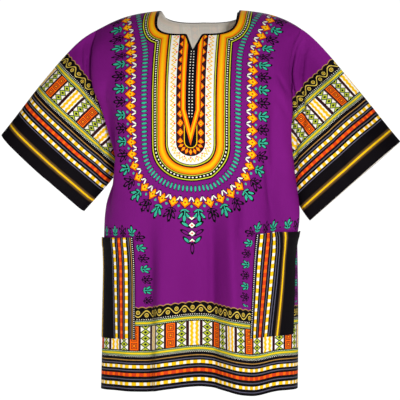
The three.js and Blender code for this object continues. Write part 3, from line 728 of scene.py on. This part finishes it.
def make_shell(name, outer, inner, sense, layers, turned):
    """A closed shell between two grids. layers are named maps with a place for each grid point; the
    first is the flat cloth, which also lays out the bake. A ring has one column fewer than its maps."""
    rows, columns = outer.shape[:2]
    across = layers["Print"].shape[1]
    number = np.arange(rows)[:, None] * columns + np.arange(across)[None, :] % columns
    behind = number + rows * columns
    where = np.arange(rows)[:, None] * across + np.arange(across)[None, :]

    def cells(index, flip):
        a, b, c, d = index[:-1, :-1], index[1:, :-1], index[1:, 1:], index[:-1, 1:]
        corners = (a, d, c, b) if flip else (a, b, c, d)
        return np.stack(corners, axis=-1).reshape(-1, 4)

    def rim(front, back, flip):
        a, b, c, d = front[:-1], front[1:], back[1:], back[:-1]
        return np.stack((a, d, c, b) if flip else (a, b, c, d), axis=-1)

    flip = sense < 0
    edges = [(0, slice(None), flip), (-1, slice(None), not flip)]
    if across == columns:
        edges += [(slice(None), 0, not flip), (slice(None), -1, flip)]
    faces = [cells(number, flip), cells(behind, not flip)]
    places = [cells(where, flip), cells(where, not flip)]
    for i, j, turn in edges:
        faces.append(rim(number[i, j], behind[i, j], turn))
        places.append(rim(where[i, j], where[i, j], turn))

    flat = layers["Print"].reshape(-1, 2)
    even = (flat - flat.min(axis=0)) / (flat.max(axis=0) - flat.min(axis=0))
    if turned:
        even = even[:, ::-1]
    bake = []
    for part, left, wide in ((places[0], 0, OUTER_SHARE), (places[1], INNER_FROM, INNER_SHARE)):
        bake.append(even[part] * (wide, 1 - 2 * RIM_SHARE) + (left, 2 * RIM_SHARE))
    for kind, part in enumerate(places[2:]):
        run = np.linspace(0, 1, len(part) + 1) * RIM_LONG + RIM_STEP * (kind % 2)
        start, end = run[:-1], run[1:]
        low, high = (np.full(len(part), v) for v in (SIDE_RIM if kind > 1 else ROW_RIM))
        spots = np.stack(((start, end, end, start), (low, low, high, high)), axis=2)
        bake.append(spots.swapaxes(0, 1))

    faces = np.concatenate(faces)
    mesh = bpy.data.meshes.new(name)
    points = np.concatenate((outer.reshape(-1, 3), inner.reshape(-1, 3))) * MM
    mesh.from_pydata(points.tolist(), [], faces.tolist())
    spots = np.concatenate([part.reshape(-1) for part in places])
    for layer, values in layers.items():
        uv = mesh.uv_layers.new(name=layer)
        uv.data.foreach_set("uv", values.reshape(-1, 2)[spots].astype(np.float32).ravel())
    uv = mesh.uv_layers.new(name="OFBake")
    uv.data.foreach_set("uv", np.concatenate(bake).astype(np.float32).ravel())
    inside = np.zeros(len(faces), dtype=np.int32)
    outer_cells = (rows - 1) * (across - 1)
    inside[outer_cells : 2 * outer_cells] = 1
    mesh.polygons.foreach_set("material_index", inside)
    mesh.polygons.foreach_set("use_smooth", np.ones(len(faces), dtype=bool))
    mesh.set_sharp_from_angle(angle=SHARP_ANGLE)
    mesh.update()
    return add_object(name, mesh)


# ---- shader fields
def operator(operation):
    return lambda *values: maths(operation, *values)


class Field:
    """A value that varies over the cloth: a shader node's output that can be reckoned with."""

    def __init__(self, socket):
        self.tree, self.socket = socket.id_data, socket

    __add__ = __radd__ = operator("ADD")
    __sub__ = operator("SUBTRACT")
    __mul__ = __rmul__ = operator("MULTIPLY")
    __abs__ = operator("ABSOLUTE")
    __gt__ = operator("GREATER_THAN")
    __lt__ = operator("LESS_THAN")
    __and__ = operator("MINIMUM")
    __or__ = operator("MAXIMUM")
    near = operator("COMPARE")  # 1 within a half width of a middle

    def __rsub__(self, other):
        return maths("SUBTRACT", other, self)

    def __neg__(self):
        return self * -1

    def cell(self, pitch):
        """The place within a repeat, from minus to plus half the pitch."""
        return maths("WRAP", self, pitch / 2, -pitch / 2)

    def wave(self, pitch):
        """A triangle wave, 0 at each multiple of the pitch and half of the pitch between."""
        return maths("PINGPONG", self, pitch / 2)

    def ramp(self, start, end):
        """0 before start and 1 after end."""
        return Field(add_node("MapRange", self, start, end).outputs[0])


def feed(tree, sockets, values):
    """Links fields and other nodes' outputs to sockets, and sets plain values on them."""
    for socket, value in zip(sockets, values):
        if isinstance(value, Field):
            value = value.socket
        if isinstance(value, bpy.types.NodeSocket):
            tree.links.new(value, socket)
        else:
            socket.default_value = value


def add_node(kind, *values, **settings):
    tree = next(value.tree for value in values if isinstance(value, Field))
    node = tree.nodes.new("ShaderNode" + kind)
    for name, setting in settings.items():
        setattr(node, name, setting)
    feed(tree, node.inputs, values)
    return node


def maths(operation, *values):
    return Field(add_node("Math", *values, operation=operation).outputs[0])


def vector(x, y):
    return Field(add_node("CombineXYZ", x, y).outputs[0])


def length(x, y):
    return Field(add_node("VectorMath", vector(x, y), operation="LENGTH").outputs["Value"])


def noise(x, y, scale, detail):
    node = add_node("TexNoise", vector(x, y))
    set_inputs(node, {"Scale": scale, "Detail": detail})
    return Field(node.outputs[0])


def read_map(tree, layer):
    """The two numbers that a named map holds, in millimetres."""
    source = tree.nodes.new("ShaderNodeUVMap")
    source.uv_map = layer
    split = tree.nodes.new("ShaderNodeSeparateXYZ")
    tree.links.new(source.outputs[0], split.inputs[0])
    return Field(split.outputs[0]), Field(split.outputs[1])


def linear(red, green, blue):
    """A screen colour, 0 to 255, as the light that it stands for."""
    values = (c / 255 for c in (red, green, blue))
    return tuple(c / 12.92 if c <= 0.04045 else ((c + 0.055) / 1.055) ** 2.4 for c in values) + (1,)


INK = {
    "purple": linear(112, 20, 112),
    "black": linear(12, 9, 13),
    "maroon": linear(52, 18, 24),
    "grey": linear(88, 86, 104),
    "white": linear(236, 230, 220),
    "yellow": linear(238, 188, 14),
    "orange": linear(240, 100, 12),
    "red": linear(205, 62, 26),
    "tan": linear(170, 128, 66),
    "straw": linear(208, 182, 80),
    "lime": linear(188, 192, 48),
    "green": linear(74, 112, 54),
    "teal": linear(52, 170, 140),
}


MIX_INPUTS = (0, 6, 7)  # a Mix node's share and two colours


class Dye:
    """Layers of ink, one over the other, each where a field is 1."""

    def __init__(self, tree, ink):
        self.tree, self.now = tree, INK[ink]

    def blend(self, first, second, share):
        node = self.tree.nodes.new("ShaderNodeMix")
        node.data_type = "RGBA"
        colours = [INK[colour] if isinstance(colour, str) else colour for colour in (first, second)]
        feed(self.tree, [node.inputs[i] for i in MIX_INPUTS], (share, *colours))
        return node.outputs[2]

    def over(self, where, colour):
        self.now = self.blend(self.now, colour, where)

    def two(self, where, first, second, share):
        """Two colours, the second where share is 1."""
        self.over(where, self.blend(first, second, share))

    def nest(self, field, bounds, within=None):
        """One ink inside another: each lies where the field is less than its bound."""
        for bound, ink in bounds:
            inside = field < bound
            self.over(inside if within is None else inside & within, ink)


# ---- stripes and borders
# Kinds of stripe: half the width, and the ink, or two for a dashed one.
STRIPES = {
    "line": (0.9, "grey", None),
    "thin": (0.8, "grey", None),
    "tan": (0.8, "tan", None),
    "yellow": (3.1, "yellow", "white"),
    "red": (3.1, "red", "orange"),
}
DASH_PITCH, DASH_HALF, DASH_DRIFT, DRIFT_SCALE = 15, 3, 2, 0.03


def stripe_row(kinds, *middles):
    return list(zip(kinds.split(), middles))


# Stripes up from the hem or cuff, and across each pocket from its inner edge.
HEM_STRIPES = stripe_row("thin yellow line red line yellow line tan", 6, 15, 24, 33, 41, 49, 56, 62)
SLEEVE_STRIPES = stripe_row(
    "thin yellow line red line yellow line tan", 57, 64, 72, 80, 87.5, 94, 101, 107
)
POCKET_STRIPES = {
    -1: stripe_row("tan line yellow line red line yellow line", 6, 10, 18, 24.5, 31, 38, 46, 53),
    1: stripe_row("thin yellow line red line yellow line thin", 4, 12, 19.5, 27, 34.5, 42, 49.5, 55),
}
# Middles of the soft tan glows with a yellow line, and how they fade and how strong they are.
SLEEVE_GLOW = Spec(middle=29, fade=7, strength=0.55, line=1.7)
POCKET_GLOWS = {
    -1: Spec(middle=96, fade=6, strength=0.5, line=1.6),
    1: Spec(middle=68, fade=6, strength=0.5, line=1.6),
}
# The middle of the first band of the figured border, up from the edge.
HEM_BAND, SLEEVE_BAND = 75, 121
# The border's parts: heights of their middles or edges above the first band's middle.
FIGURES = dict(dots=-6, foot=6.5, top=53.5, second_band=60, second_dots=67, wave=78, edge=89)
BORDER_FOOT, GROUND_GAP = -7, 4  # where its own black starts, and how far below it the edge's ends
EDGE_HALF = 0.9
SCALLOP = Spec(pitch=15, rise=2.5)
DOT = Spec(radius=0.9, pitch=4, second_pitch=4.6)
POCKET_DOTS = 2.4  # in from the pocket's inner edge
# Bands: each ink's half width, and how far a tooth adds to it.
BAND_HALF, TOOTH_PITCH = 5.5, 4
BAND_INKS = ((5, -0.5, "green"), (1.4, 0.6, "lime"), (0.5, 0.4, "yellow"))
BAND_LINE = Spec(middle=4, half=0.45, teeth=1)
# Middles of the upright blocks in their repeat, which starts aside from the middle of the cloth.
BLOCKS = Spec(pitch=98, start=42, ropes=-38, lozenges=(-12, 33), squares=10.5)
ROPES = Spec(block=11, off=4.1, pitch=9, sway=0.5, half=3)
LOZENGES = Spec(block=9.5, half=8.4, pitch=12)
LOZENGE_INKS = ((1.25, "black"), (1.05, "green"), (0.86, "lime"), (0.5, "green"), (0.34, "black"))
SQUARES = Spec(block=8.5, pitch=15, rings=(5.4, 2.6), half=0.6, core=1)
# The running wave, with a ring in each bend.
WAVE = Spec(half=9.5, pitch=34, rise=6.2, line=1.2, ring_off=2.4, ring=3.3, ring_half=0.8, core=1.2)


def stripes(dye, u, v, rows):
    for kind, middle in rows:
        half, ink, dash = STRIPES[kind]
        where = v.near(middle, half)
        if dash:
            drift = noise(u, v, DRIFT_SCALE, 0) * DASH_DRIFT
            dye.two(where, ink, dash, (u.cell(DASH_PITCH) + drift).near(0, DASH_HALF))
        else:
            dye.over(where, ink)


def glow(dye, v, spec):
    off = abs(v - spec.middle)
    dye.over(off.ramp(spec.fade, 1) * spec.strength, "tan")
    dye.over(off < spec.line, "yellow")


def dots(dye, u, off, pitch):
    dye.over(length(u.cell(pitch), off) < DOT.radius, "white")


def wavy_band(dye, u, v, middle):
    """A toothed yellow line between green ones."""
    off = abs(v - middle)
    teeth = (u + v - middle).wave(TOOTH_PITCH)
    dye.over(off < BAND_HALF, "black")
    for half, tooth, ink in BAND_INKS:
        dye.over(off < teeth * tooth + half, ink)
    line = off.near(BAND_LINE.middle, BAND_LINE.half)
    dye.over(line & (teeth > BAND_LINE.teeth), "white")


def block_row(dye, u, v, foot, top):
    """Upright blocks by turns: yellow ropes, lozenges, stepped squares, and lozenges again."""
    inside = v.near((foot + top) / 2, (top - foot) / 2)
    place = (u - BLOCKS.start).cell(BLOCKS.pitch)
    height = v - (foot + top) / 2
    dye.over(inside, "maroon")

    across = abs(place - BLOCKS.ropes)
    block = inside & (across < ROPES.block)
    dye.over(block, "white")
    rope = abs(across - ROPES.off - height.wave(ROPES.pitch) * ROPES.sway)
    dye.over(block & (rope < ROPES.half), "yellow")

    for middle in BLOCKS.lozenges:
        across = abs(place - middle)
        block = inside & (across < LOZENGES.block)
        tall = abs(height.cell(LOZENGES.pitch)) * (2 / LOZENGES.pitch)
        dye.over(block, "white")
        dye.nest(across * (1 / LOZENGES.half) + tall, LOZENGE_INKS, block)

    across = abs(place - BLOCKS.squares)
    block = inside & (across < SQUARES.block)
    dye.over(block, "orange")
    square = across | abs(height.cell(SQUARES.pitch))
    for ring in SQUARES.rings:
        dye.over(block & square.near(ring, SQUARES.half), "maroon")
    dye.over(block & (square < SQUARES.core), "yellow")


def running_wave(dye, u, v, middle):
    """A straw-coloured wave with a ring in each bend, on black."""
    inside = v.near(middle, WAVE.half)
    dye.over(inside, "black")
    pitch, off = WAVE.pitch, v - middle
    swing = (u.wave(pitch) - pitch / 4) * (QUARTER / (pitch / 4))
    bend = maths("SINE", swing) * WAVE.rise
    dye.over(maths("COMPARE", off, bend, WAVE.line) & inside, "straw")
    under_crest = length((u + pitch / 2).cell(pitch), off + WAVE.ring_off)
    ring = under_crest & length(u.cell(pitch), off - WAVE.ring_off)
    dye.over(ring.near(WAVE.ring, WAVE.ring_half), "straw")
    dye.over(ring < WAVE.core, "yellow")


def figured_border(dye, u, v, start):
    """Everything over the stripes, from the first band to the scalloped edge."""
    at = {name: start + height for name, height in FIGURES.items()}
    edge = v - abs(maths("SINE", u * (math.pi / SCALLOP.pitch))) * SCALLOP.rise
    dye.over((v > start + BORDER_FOOT) & (edge < at["edge"]), "black")
    dye.over(edge.near(at["edge"], EDGE_HALF), "tan")
    dots(dye, u, v - at["dots"], DOT.pitch)
    wavy_band(dye, u, v, start)
    block_row(dye, u, v, at["foot"], at["top"])
    wavy_band(dye, u, v, at["second_band"])
    dots(dye, u, v - at["second_dots"], DOT.second_pitch)
    running_wave(dye, u, v, at["wave"])


# ---- leaves
LEAF_EDGE = 1.35  # how far out of a leaf its black edge reaches
# Each leaf of a sprig: its middle, across and up; its tilt; half its length and width.
SPRIG_LEAVES = ((0, 17, 0, 7, 2.5), (5.6, 12, 0.5, 6.4, 2.2), (4.2, 3, 1.0, 4.6, 1.6))
SPRIG_STEM = Spec(up=6, half=1.2, tall=8)
SPRIG_INKS = ((0.85, "teal"), (0.62, "purple"))  # of every other sprig, and of those between


def leaf(across, along, middle, tilt, long, wide):
    """How far out of an ellipse a place is, where 1 is its edge; it leans out by tilt."""
    x, y = across - middle[0], along - middle[1]
    c, s = math.cos(tilt), math.sin(tilt)
    return length((x * c - y * s) * (1 / wide), (x * s + y * c) * (1 / long))


def sprig(dye, along, out, foot, pitch, size, only=None):
    """Three-leaf sprigs that stand on a line, teal with a dark edge and black by turns."""
    across = abs(along.cell(pitch))
    up = out - (foot + SPRIG_STEM.up * size)
    wide, tall = SPRIG_STEM.half * size, SPRIG_STEM.tall * size
    shape = length(across * (1 / wide), up * (1 / tall))
    for x, y, tilt, long, wide in SPRIG_LEAVES:
        shape = shape & leaf(across, out, (x * size, foot + y * size), tilt, long * size, wide * size)
    within = shape < LEAF_EDGE
    if only is not None:
        within = within & only
    dye.over(within, "black")
    second = (along * (1 / (2 * pitch)) + 0.25).cell(1) > 0
    for by_turn, (bound, ink) in zip((second < 0.5, second > 0.5), SPRIG_INKS):
        dye.over(within & (shape < bound) & by_turn, ink)


# ---- the neck's ornament
COLLAR_WIDTH = 30
# How far the halo's rings stand outside the yoke, and their repeats in a quarter of its round foot.
TICKS = Spec(out=14, count=18, long=2.8, inks=((7.5, "black"), (5.6, "teal")))
BEADS = Spec(out=42, count=8, squash=0.9)
BEAD_INKS = ((11.5, "black"), (9.8, "orange"), (6.6, "yellow"), (2.2, "red"))
SPRIGS = Spec(out=54, count=8, size=1.1)
# The petals below and the seeds above the gaps between beads.
PETAL = dict(middle=(3.2, BEADS.out - 7), tilt=0.5, long=6, wide=1.9)
PETAL_INKS = ((1.3, "black"), (0.85, "white"))
SEED = Spec(out=BEADS.out + 7, radius=2.3)
NECK_EDGE = 4.5
# The yoke's bands, inwards from its edge: the middle of each and half its width.
YOKE_LINES = ((3.4, 1.0), (12, 0.8))
YOKE_DOTS = Spec(inward=8, pitch=5, radius=1.3)
YOKE_ROPE = Spec(inward=20.5, half=6.6, fade=(0.5, 6.2))
INNER_LINE = (31, 1)
ZIGZAG = Spec(inward=41.5, half=8, line=38.5, pitch=9, swing=1.5, line_half=1.7)
ZIGZAG_SPOTS = Spec(inward=46.5, pitch=18, half=2.6)
CHAIN = Spec(inward=58, half=6.3, pitch=18, stretch=0.8)
CHAIN_INKS = ((6.4, "orange"), (3.8, "yellow"), (1.6, "red"))
LAST_LINE = (65, 66.6)
TURN_RADIUS = 32  # how far inside the yoke's edge its figures keep their size round the foot


def neck_ornament(dye, u, v, centre, placket):
    """A yoke with a round foot, bands that follow its edge inside and a halo round it."""
    neck, _ = read_map(dye.tree, "Neck")
    out, guide = read_map(dye.tree, "Halo")
    foot = YOKE_HALF * QUARTER  # the way along the guide where the round foot ends

    def ring(spec):
        """The way along at a distance outside the guide, and a pitch that fits its foot."""
        stretch = (guide & foot) * (spec.out / YOKE_HALF)
        return guide + stretch, (YOKE_HALF + spec.out) * QUARTER / spec.count

    # halo, from the outside in
    run, pitch = ring(SPRIGS)
    sprig(dye, run + pitch / 2, out, SPRIGS.out, pitch, SPRIGS.size)
    run, pitch = ring(BEADS)
    across = abs((run + pitch / 2).cell(pitch))
    dye.nest(across + abs(out - BEADS.out) * BEADS.squash, BEAD_INKS)
    dye.nest(leaf(pitch / 2 - across, out, **PETAL), PETAL_INKS)
    dye.over(length(pitch / 2 - across, out - SEED.out) < SEED.radius, "teal")
    run, pitch = ring(TICKS)
    dye.nest(length(run.cell(pitch) * TICKS.long, out - TICKS.out), TICKS.inks)

    above = v - centre
    below = -above | 0
    turn = maths("ARCTAN2", below, abs(u))
    run = (above | 0) - turn * (YOKE_HALF - TURN_RADIUS)
    inward = (YOKE_HALF - length(u, below)) | (COLLAR_WIDTH - neck)
    # yoke, from its edge in
    dye.over(inward > 0, "black")
    for line in YOKE_LINES:
        dye.over(inward.near(*line), "lime")
    dot = length(run.cell(YOKE_DOTS.pitch), inward - YOKE_DOTS.inward)
    dye.over(dot < YOKE_DOTS.radius, "white")
    off_rope = abs(inward - YOKE_ROPE.inward)
    rope = inward.near(YOKE_ROPE.inward, YOKE_ROPE.half)
    dye.two(rope, "yellow", "orange", off_rope.ramp(*YOKE_ROPE.fade))
    inner = neck > NECK_EDGE
    dye.over(inner & inward.near(*INNER_LINE), "lime")
    zigzag = inner & inward.near(ZIGZAG.inward, ZIGZAG.half)
    dye.over(zigzag, "white")
    swing = run.wave(ZIGZAG.pitch) * ZIGZAG.swing
    line = abs(inward - ZIGZAG.line - swing).near(0, ZIGZAG.line_half)
    dye.over(zigzag & line, "yellow")
    spot = abs(run.cell(ZIGZAG_SPOTS.pitch)) + abs(inward - ZIGZAG_SPOTS.inward)
    dye.over(zigzag & (spot < ZIGZAG_SPOTS.half), "orange")
    chain = inner & inward.near(CHAIN.inward, CHAIN.half)
    dye.over(chain, "maroon")
    link = abs(run.cell(CHAIN.pitch)) * CHAIN.stretch + abs(inward - CHAIN.inward)
    dye.nest(link, CHAIN_INKS, chain)
    dye.over(inner & (inward > LAST_LINE[0]) & (inward < LAST_LINE[1]), "yellow")
    if placket:
        strip(dye, u, v, above)
    dye.over(neck < NECK_EDGE, "black")


# The placket: its half width tapers from the slit to its foot below the yoke's centre.
PLACKET = Spec(foot=-8, slit=62, half=19, edge=-1.4, black_from=9, stripe=4.6, stripe_half=1.8)
PLACKET_DOTS = Spec(aside=3, pitch=6, radius=1.2, edge=12)


def strip(dye, u, v, above):
    """The dark placket under the slit, edged in orange, which ends in a point above the foot."""
    edge = above.ramp(PLACKET.foot, PLACKET.slit) * PLACKET.half - abs(u)
    here = above > PLACKET.foot
    dye.over(here & (edge > PLACKET.edge), "black")
    stripe = (edge - PLACKET.stripe).near(0, PLACKET.stripe_half)
    dye.two(here & (edge > 0), "orange", "yellow", stripe)
    dye.over(edge > PLACKET.black_from, "black")
    dot = length(abs(u) - PLACKET_DOTS.aside, v.cell(PLACKET_DOTS.pitch))
    dye.over((dot < PLACKET_DOTS.radius) & (edge > PLACKET_DOTS.edge), "white")


# The pendant below the halo: leaves with their middle, tilt, half length and ink, and lozenges.
PENDANT_GAP = 24
PENDANT_LEAVES = (
    ((13, -6), 1.0, 9, "teal"),
    ((13, -22), 1.0, 9, "purple"),
    ((11, -37), 0.8, 8, "teal"),
    ((0, -54), 0.0, 9, "purple"),
)
PENDANT_LEAF_HALF, PENDANT_LEAF_INK = 3, 0.8
PENDANT_LOZENGES = Spec(first=8, pitch=16, squash=1.1, middle=16, half=24)
PENDANT_INKS = ((8.6, "black"), (6.4, "white"), (2.6, "orange"))


def pendant(dye, u, v, top):
    """Stacked lozenges between leaves below the halo's middle."""
    down, out = top - v, abs(u)
    for middle, tilt, long, ink in PENDANT_LEAVES:
        shape = leaf(out, -down, middle, tilt, long, PENDANT_LEAF_HALF)
        dye.nest(shape, ((LEAF_EDGE, "black"), (PENDANT_LEAF_INK, ink)))
    spec = PENDANT_LOZENGES
    lozenge = out + abs((down - spec.first).cell(spec.pitch)) * spec.squash
    dye.nest(lozenge, PENDANT_INKS, down.near(spec.middle, spec.half))


# ---- materials
REVERSE_PALE = 0.9
# The bump: soft creases, fine ones that run across, and threads; heights in millimetres.
SOFT = Spec(scale=0.018, detail=3, height=3)
FINE = Spec(scale=0.09, detail=2, height=0.5, stretch=0.4)
WEAVE = Spec(turns=7.0, height=0.04)
BUMP_STRENGTH = 0.55


def cloth_material(name, paint, reverse=False):
    """Printed cotton. paint(dye, u, v) lays the print over the ground colour; the reverse shows it
    paler."""
    material = bpy.data.materials.new(name)
    material.use_nodes = True
    tree = material.node_tree
    shader = tree.nodes["Principled BSDF"]
    u, v = read_map(tree, "Print")
    dye = Dye(tree, "purple")
    paint(dye, u, v)
    if reverse:
        dye.now = dye.blend(dye.now, "white", REVERSE_PALE)
    tree.links.new(dye.now, shader.inputs["Base Color"])
    set_inputs(shader, {"Roughness": 0.7, "Specular IOR Level": 0.04})
    soft = noise(u, v, SOFT.scale, SOFT.detail) * SOFT.height
    fine = noise(u * FINE.stretch, v, FINE.scale, FINE.detail) * FINE.height
    threads = [maths("SINE", way * WEAVE.turns) * WEAVE.height for way in (u, v)]
    bump = tree.nodes.new("ShaderNodeBump")
    set_inputs(bump, {"Strength": BUMP_STRENGTH, "Distance": MM})
    tree.links.new((soft + fine + (threads[0] + threads[1])).socket, bump.inputs["Height"])
    tree.links.new(bump.outputs[0], shader.inputs["Normal"])
    return material


def paint_front(dye, u, v):
    away, along = read_map(dye.tree, "Pockets")
    clear = (away > 0) & (v > HEM_BAND + FIGURES["edge"] + POCKET_SPRIGS.above)
    sprig(dye, along, away, POCKET_SPRIGS.foot, POCKET_SPRIGS.pitch, POCKET_SPRIGS.size, clear)
    neck_ornament(dye, u, v, front.yoke_centre, placket=True)
    pendant(dye, u, v, front.yoke_centre - YOKE_HALF - SPRIGS.out - PENDANT_GAP)
    paint_edge(dye, u, v, HEM_BAND, HEM_STRIPES)


def paint_back(dye, u, v):
    neck_ornament(dye, u, v, back.yoke_centre, placket=False)
    paint_edge(dye, u, v, HEM_BAND, HEM_STRIPES)


def paint_edge(dye, u, v, band, rows, glow_at=None):
    """The black ground, the stripes and the figured border over a hem or cuff."""
    dye.over(v < band - GROUND_GAP, "black")
    stripes(dye, u, v, rows)
    if glow_at:
        glow(dye, v, glow_at)
    figured_border(dye, u, v, band)


def paint_sleeve(dye, u, v):
    paint_edge(dye, u, v, SLEEVE_BAND, SLEEVE_STRIPES, SLEEVE_GLOW)


def pocket_painter(side):
    def paint(dye, u, v):
        dye.now = INK["black"]
        stripes(dye, v, u, POCKET_STRIPES[side])
        dots(dye, v, u - POCKET_DOTS, DOT.pitch)
        glow(dye, u, POCKET_GLOWS[side])

    return paint


# ---- the pieces
HEM_TURN = 1.0  # how much thicker the cloth is where it is turned under
HEM_STEP = 3  # over what width it thickens
HEM_DEPTH, NECK_DEPTH = 20, 9
ROOM_SHARE = 0.42  # the most that the cloth takes up of the room between a sleeve's two faces


def moved(grid, normals, by):
    return grid + normals * (by[..., None] if isinstance(by, np.ndarray) else by)


def turned_under(distance, depth):
    return HEM_TURN * smooth((depth - distance) / HEM_STEP)


def flat_area(flat):
    """The area of the flat cut, in square metres."""
    across, down = flat[1:, 1:] - flat[:-1, :-1], flat[1:, :-1] - flat[:-1, 1:]
    cross = across[..., 0] * down[..., 1] - across[..., 1] * down[..., 0]
    return float(np.abs(cross).sum() / 2 * MM * MM)


def flat_size(flat):
    width, long = np.ptp(flat.reshape(-1, 2), axis=0) * MM
    return float(width), float(long)


def add_cloth(node, materials, outer, inner, sense, layers, turned=False):
    """Makes the cloth that takes a solid's place, with its two materials."""
    piece = make_shell(node + "_cloth", outer, inner, sense, layers, turned)
    for material in materials:
        piece.data.materials.append(material)
    flat, area = flat_size(layers["Print"]), flat_area(layers["Print"])
    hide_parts(node)
    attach(piece, "root")


def build_panel(name):
    panel = PANELS[name]
    unsunk, grid, angle, z = panel_grid(panel)
    sense = -panel.facing
    normals = grid_normals(grid, sense)
    middle = grid.shape[1] // 2
    off_neck = np.abs(np.arange(grid.shape[1]) - middle) >= NECK_COLUMNS
    normals[0, off_neck, 1] = 0
    normals[UNDERARM_ROW:, (0, -1), 1] = 0
    normals = unit(normals)
    flat = panel_flat(panel, grid, angle, z)
    neck = distance_to_line(flat, flat[0, middle - NECK_COLUMNS : middle + NECK_COLUMNS + 1])
    foot = np.interp(-YOKE_FOOT_Z[name], -grid[:, middle, 2], flat[:, middle, 1])
    centre = float(foot) + YOKE_HALF
    halo = beside_guide(flat, halo_guide(centre, flat[0, middle + NECK_COLUMNS, 1]))
    return Spec(
        grid=grid, unsunk=unsunk, normals=normals, sense=sense, flat=flat, neck=neck, halo=halo,
        middle=middle, yoke_centre=centre,
    )


def pocket_window(panel, side):
    first_row, last_row = POCKET_FIRST_ROW * FINE_ROWS, POCKET_LAST_ROW * FINE_ROWS
    inner = NECK_COLUMNS + COLUMNS["inside"]
    start = panel.middle + (inner if side > 0 else -inner - COLUMNS["pocket"])
    return slice(first_row, last_row + 1), slice(start, start + COLUMNS["pocket"] + 1)


front, back = build_panel("front"), build_panel("back")
beside = {
    side: round_pocket(front.flat, front.flat[pocket_window(front, side)].reshape(-1, 2))
    for side in POCKETS
}
by_pockets = np.where(front.flat[..., 0:1] < 0, beside[-1], beside[1])


def add_panel(name, panel, extra, materials):
    node = PANELS[name].node
    thickness = WALL + turned_under(panel.flat[..., 1], HEM_DEPTH)
    thickness += turned_under(panel.neck, NECK_DEPTH)
    inner = moved(panel.grid, panel.normals, -thickness)
    neck = np.stack((panel.neck, 0 * panel.neck), axis=2)
    layers = {"Print": panel.flat, "Neck": neck, "Halo": panel.halo, **extra}
    add_cloth(node, materials, panel.grid, inner, panel.sense, layers)


def add_sleeve(sleeve, materials):
    seams = [(panel.unsunk, panel.grid) for panel in (front, back)]
    grid, sense = sleeve_grid(sleeve, *seams)
    flat = sleeve_flat(grid)
    normals = grid_normals(grid, sense, ring=True)
    facing_column = -np.arange(2 * UNDERARM_ROW) % (2 * UNDERARM_ROW)
    room = size_of(grid - grid[:, facing_column])
    room[:, (0, UNDERARM_ROW)] = room[:, (1, UNDERARM_ROW - 1)]
    thickness = WALL + turned_under(flat[:, :-1, 1], HEM_DEPTH)
    thickness = np.minimum(thickness, ROOM_SHARE * room)
    inner = moved(grid, normals, -thickness)
    add_cloth(
        sleeve.node, materials, grid, inner, sense, {"Print": flat}, turned=True,
    )


def add_pocket(side, materials):
    window = pocket_window(front, side)
    grid, normals, flat = front.grid[window], front.normals[window], front.flat[window]
    row = np.arange(grid.shape[0])[:, None] / FINE_ROWS
    lift = POCKET_LIFT + POCKET_GAPE * smooth(1 - row / GAPE_ROWS) + np.zeros(grid.shape[:2])
    flat = flat - (flat[..., 0:1].min() if side > 0 else flat[..., 0:1].max(), flat[..., 1].min())
    # across from the inner edge, and up from the foot
    inner_edge = flat[:, 0 if side > 0 else -1, 0]
    flat[..., 0] = np.abs(flat[..., 0] - inner_edge[:, None])
    thickness = WALL + turned_under(flat[..., 1].max() - flat[..., 1], HEM_DEPTH)
    outer = moved(grid, normals, lift + thickness)
    inner = moved(grid, normals, lift)
    add_cloth(
        POCKETS[side].node, materials, outer, inner, front.sense, {"Print": flat},
    )


def both_faces(name, paint):
    return cloth_material(name, paint), cloth_material(name + "_reverse", paint, reverse=True)


add_panel("front", front, {"Pockets": by_pockets}, both_faces("front_print", paint_front))
add_panel("back", back, {}, both_faces("back_print", paint_back))
sleeve_materials = both_faces("sleeve_print", paint_sleeve)
for sleeve in SLEEVES:
    add_sleeve(sleeve, sleeve_materials)
for side in POCKETS:
    add_pocket(side, both_faces(POCKETS[side].node + "_print", pocket_painter(side)))
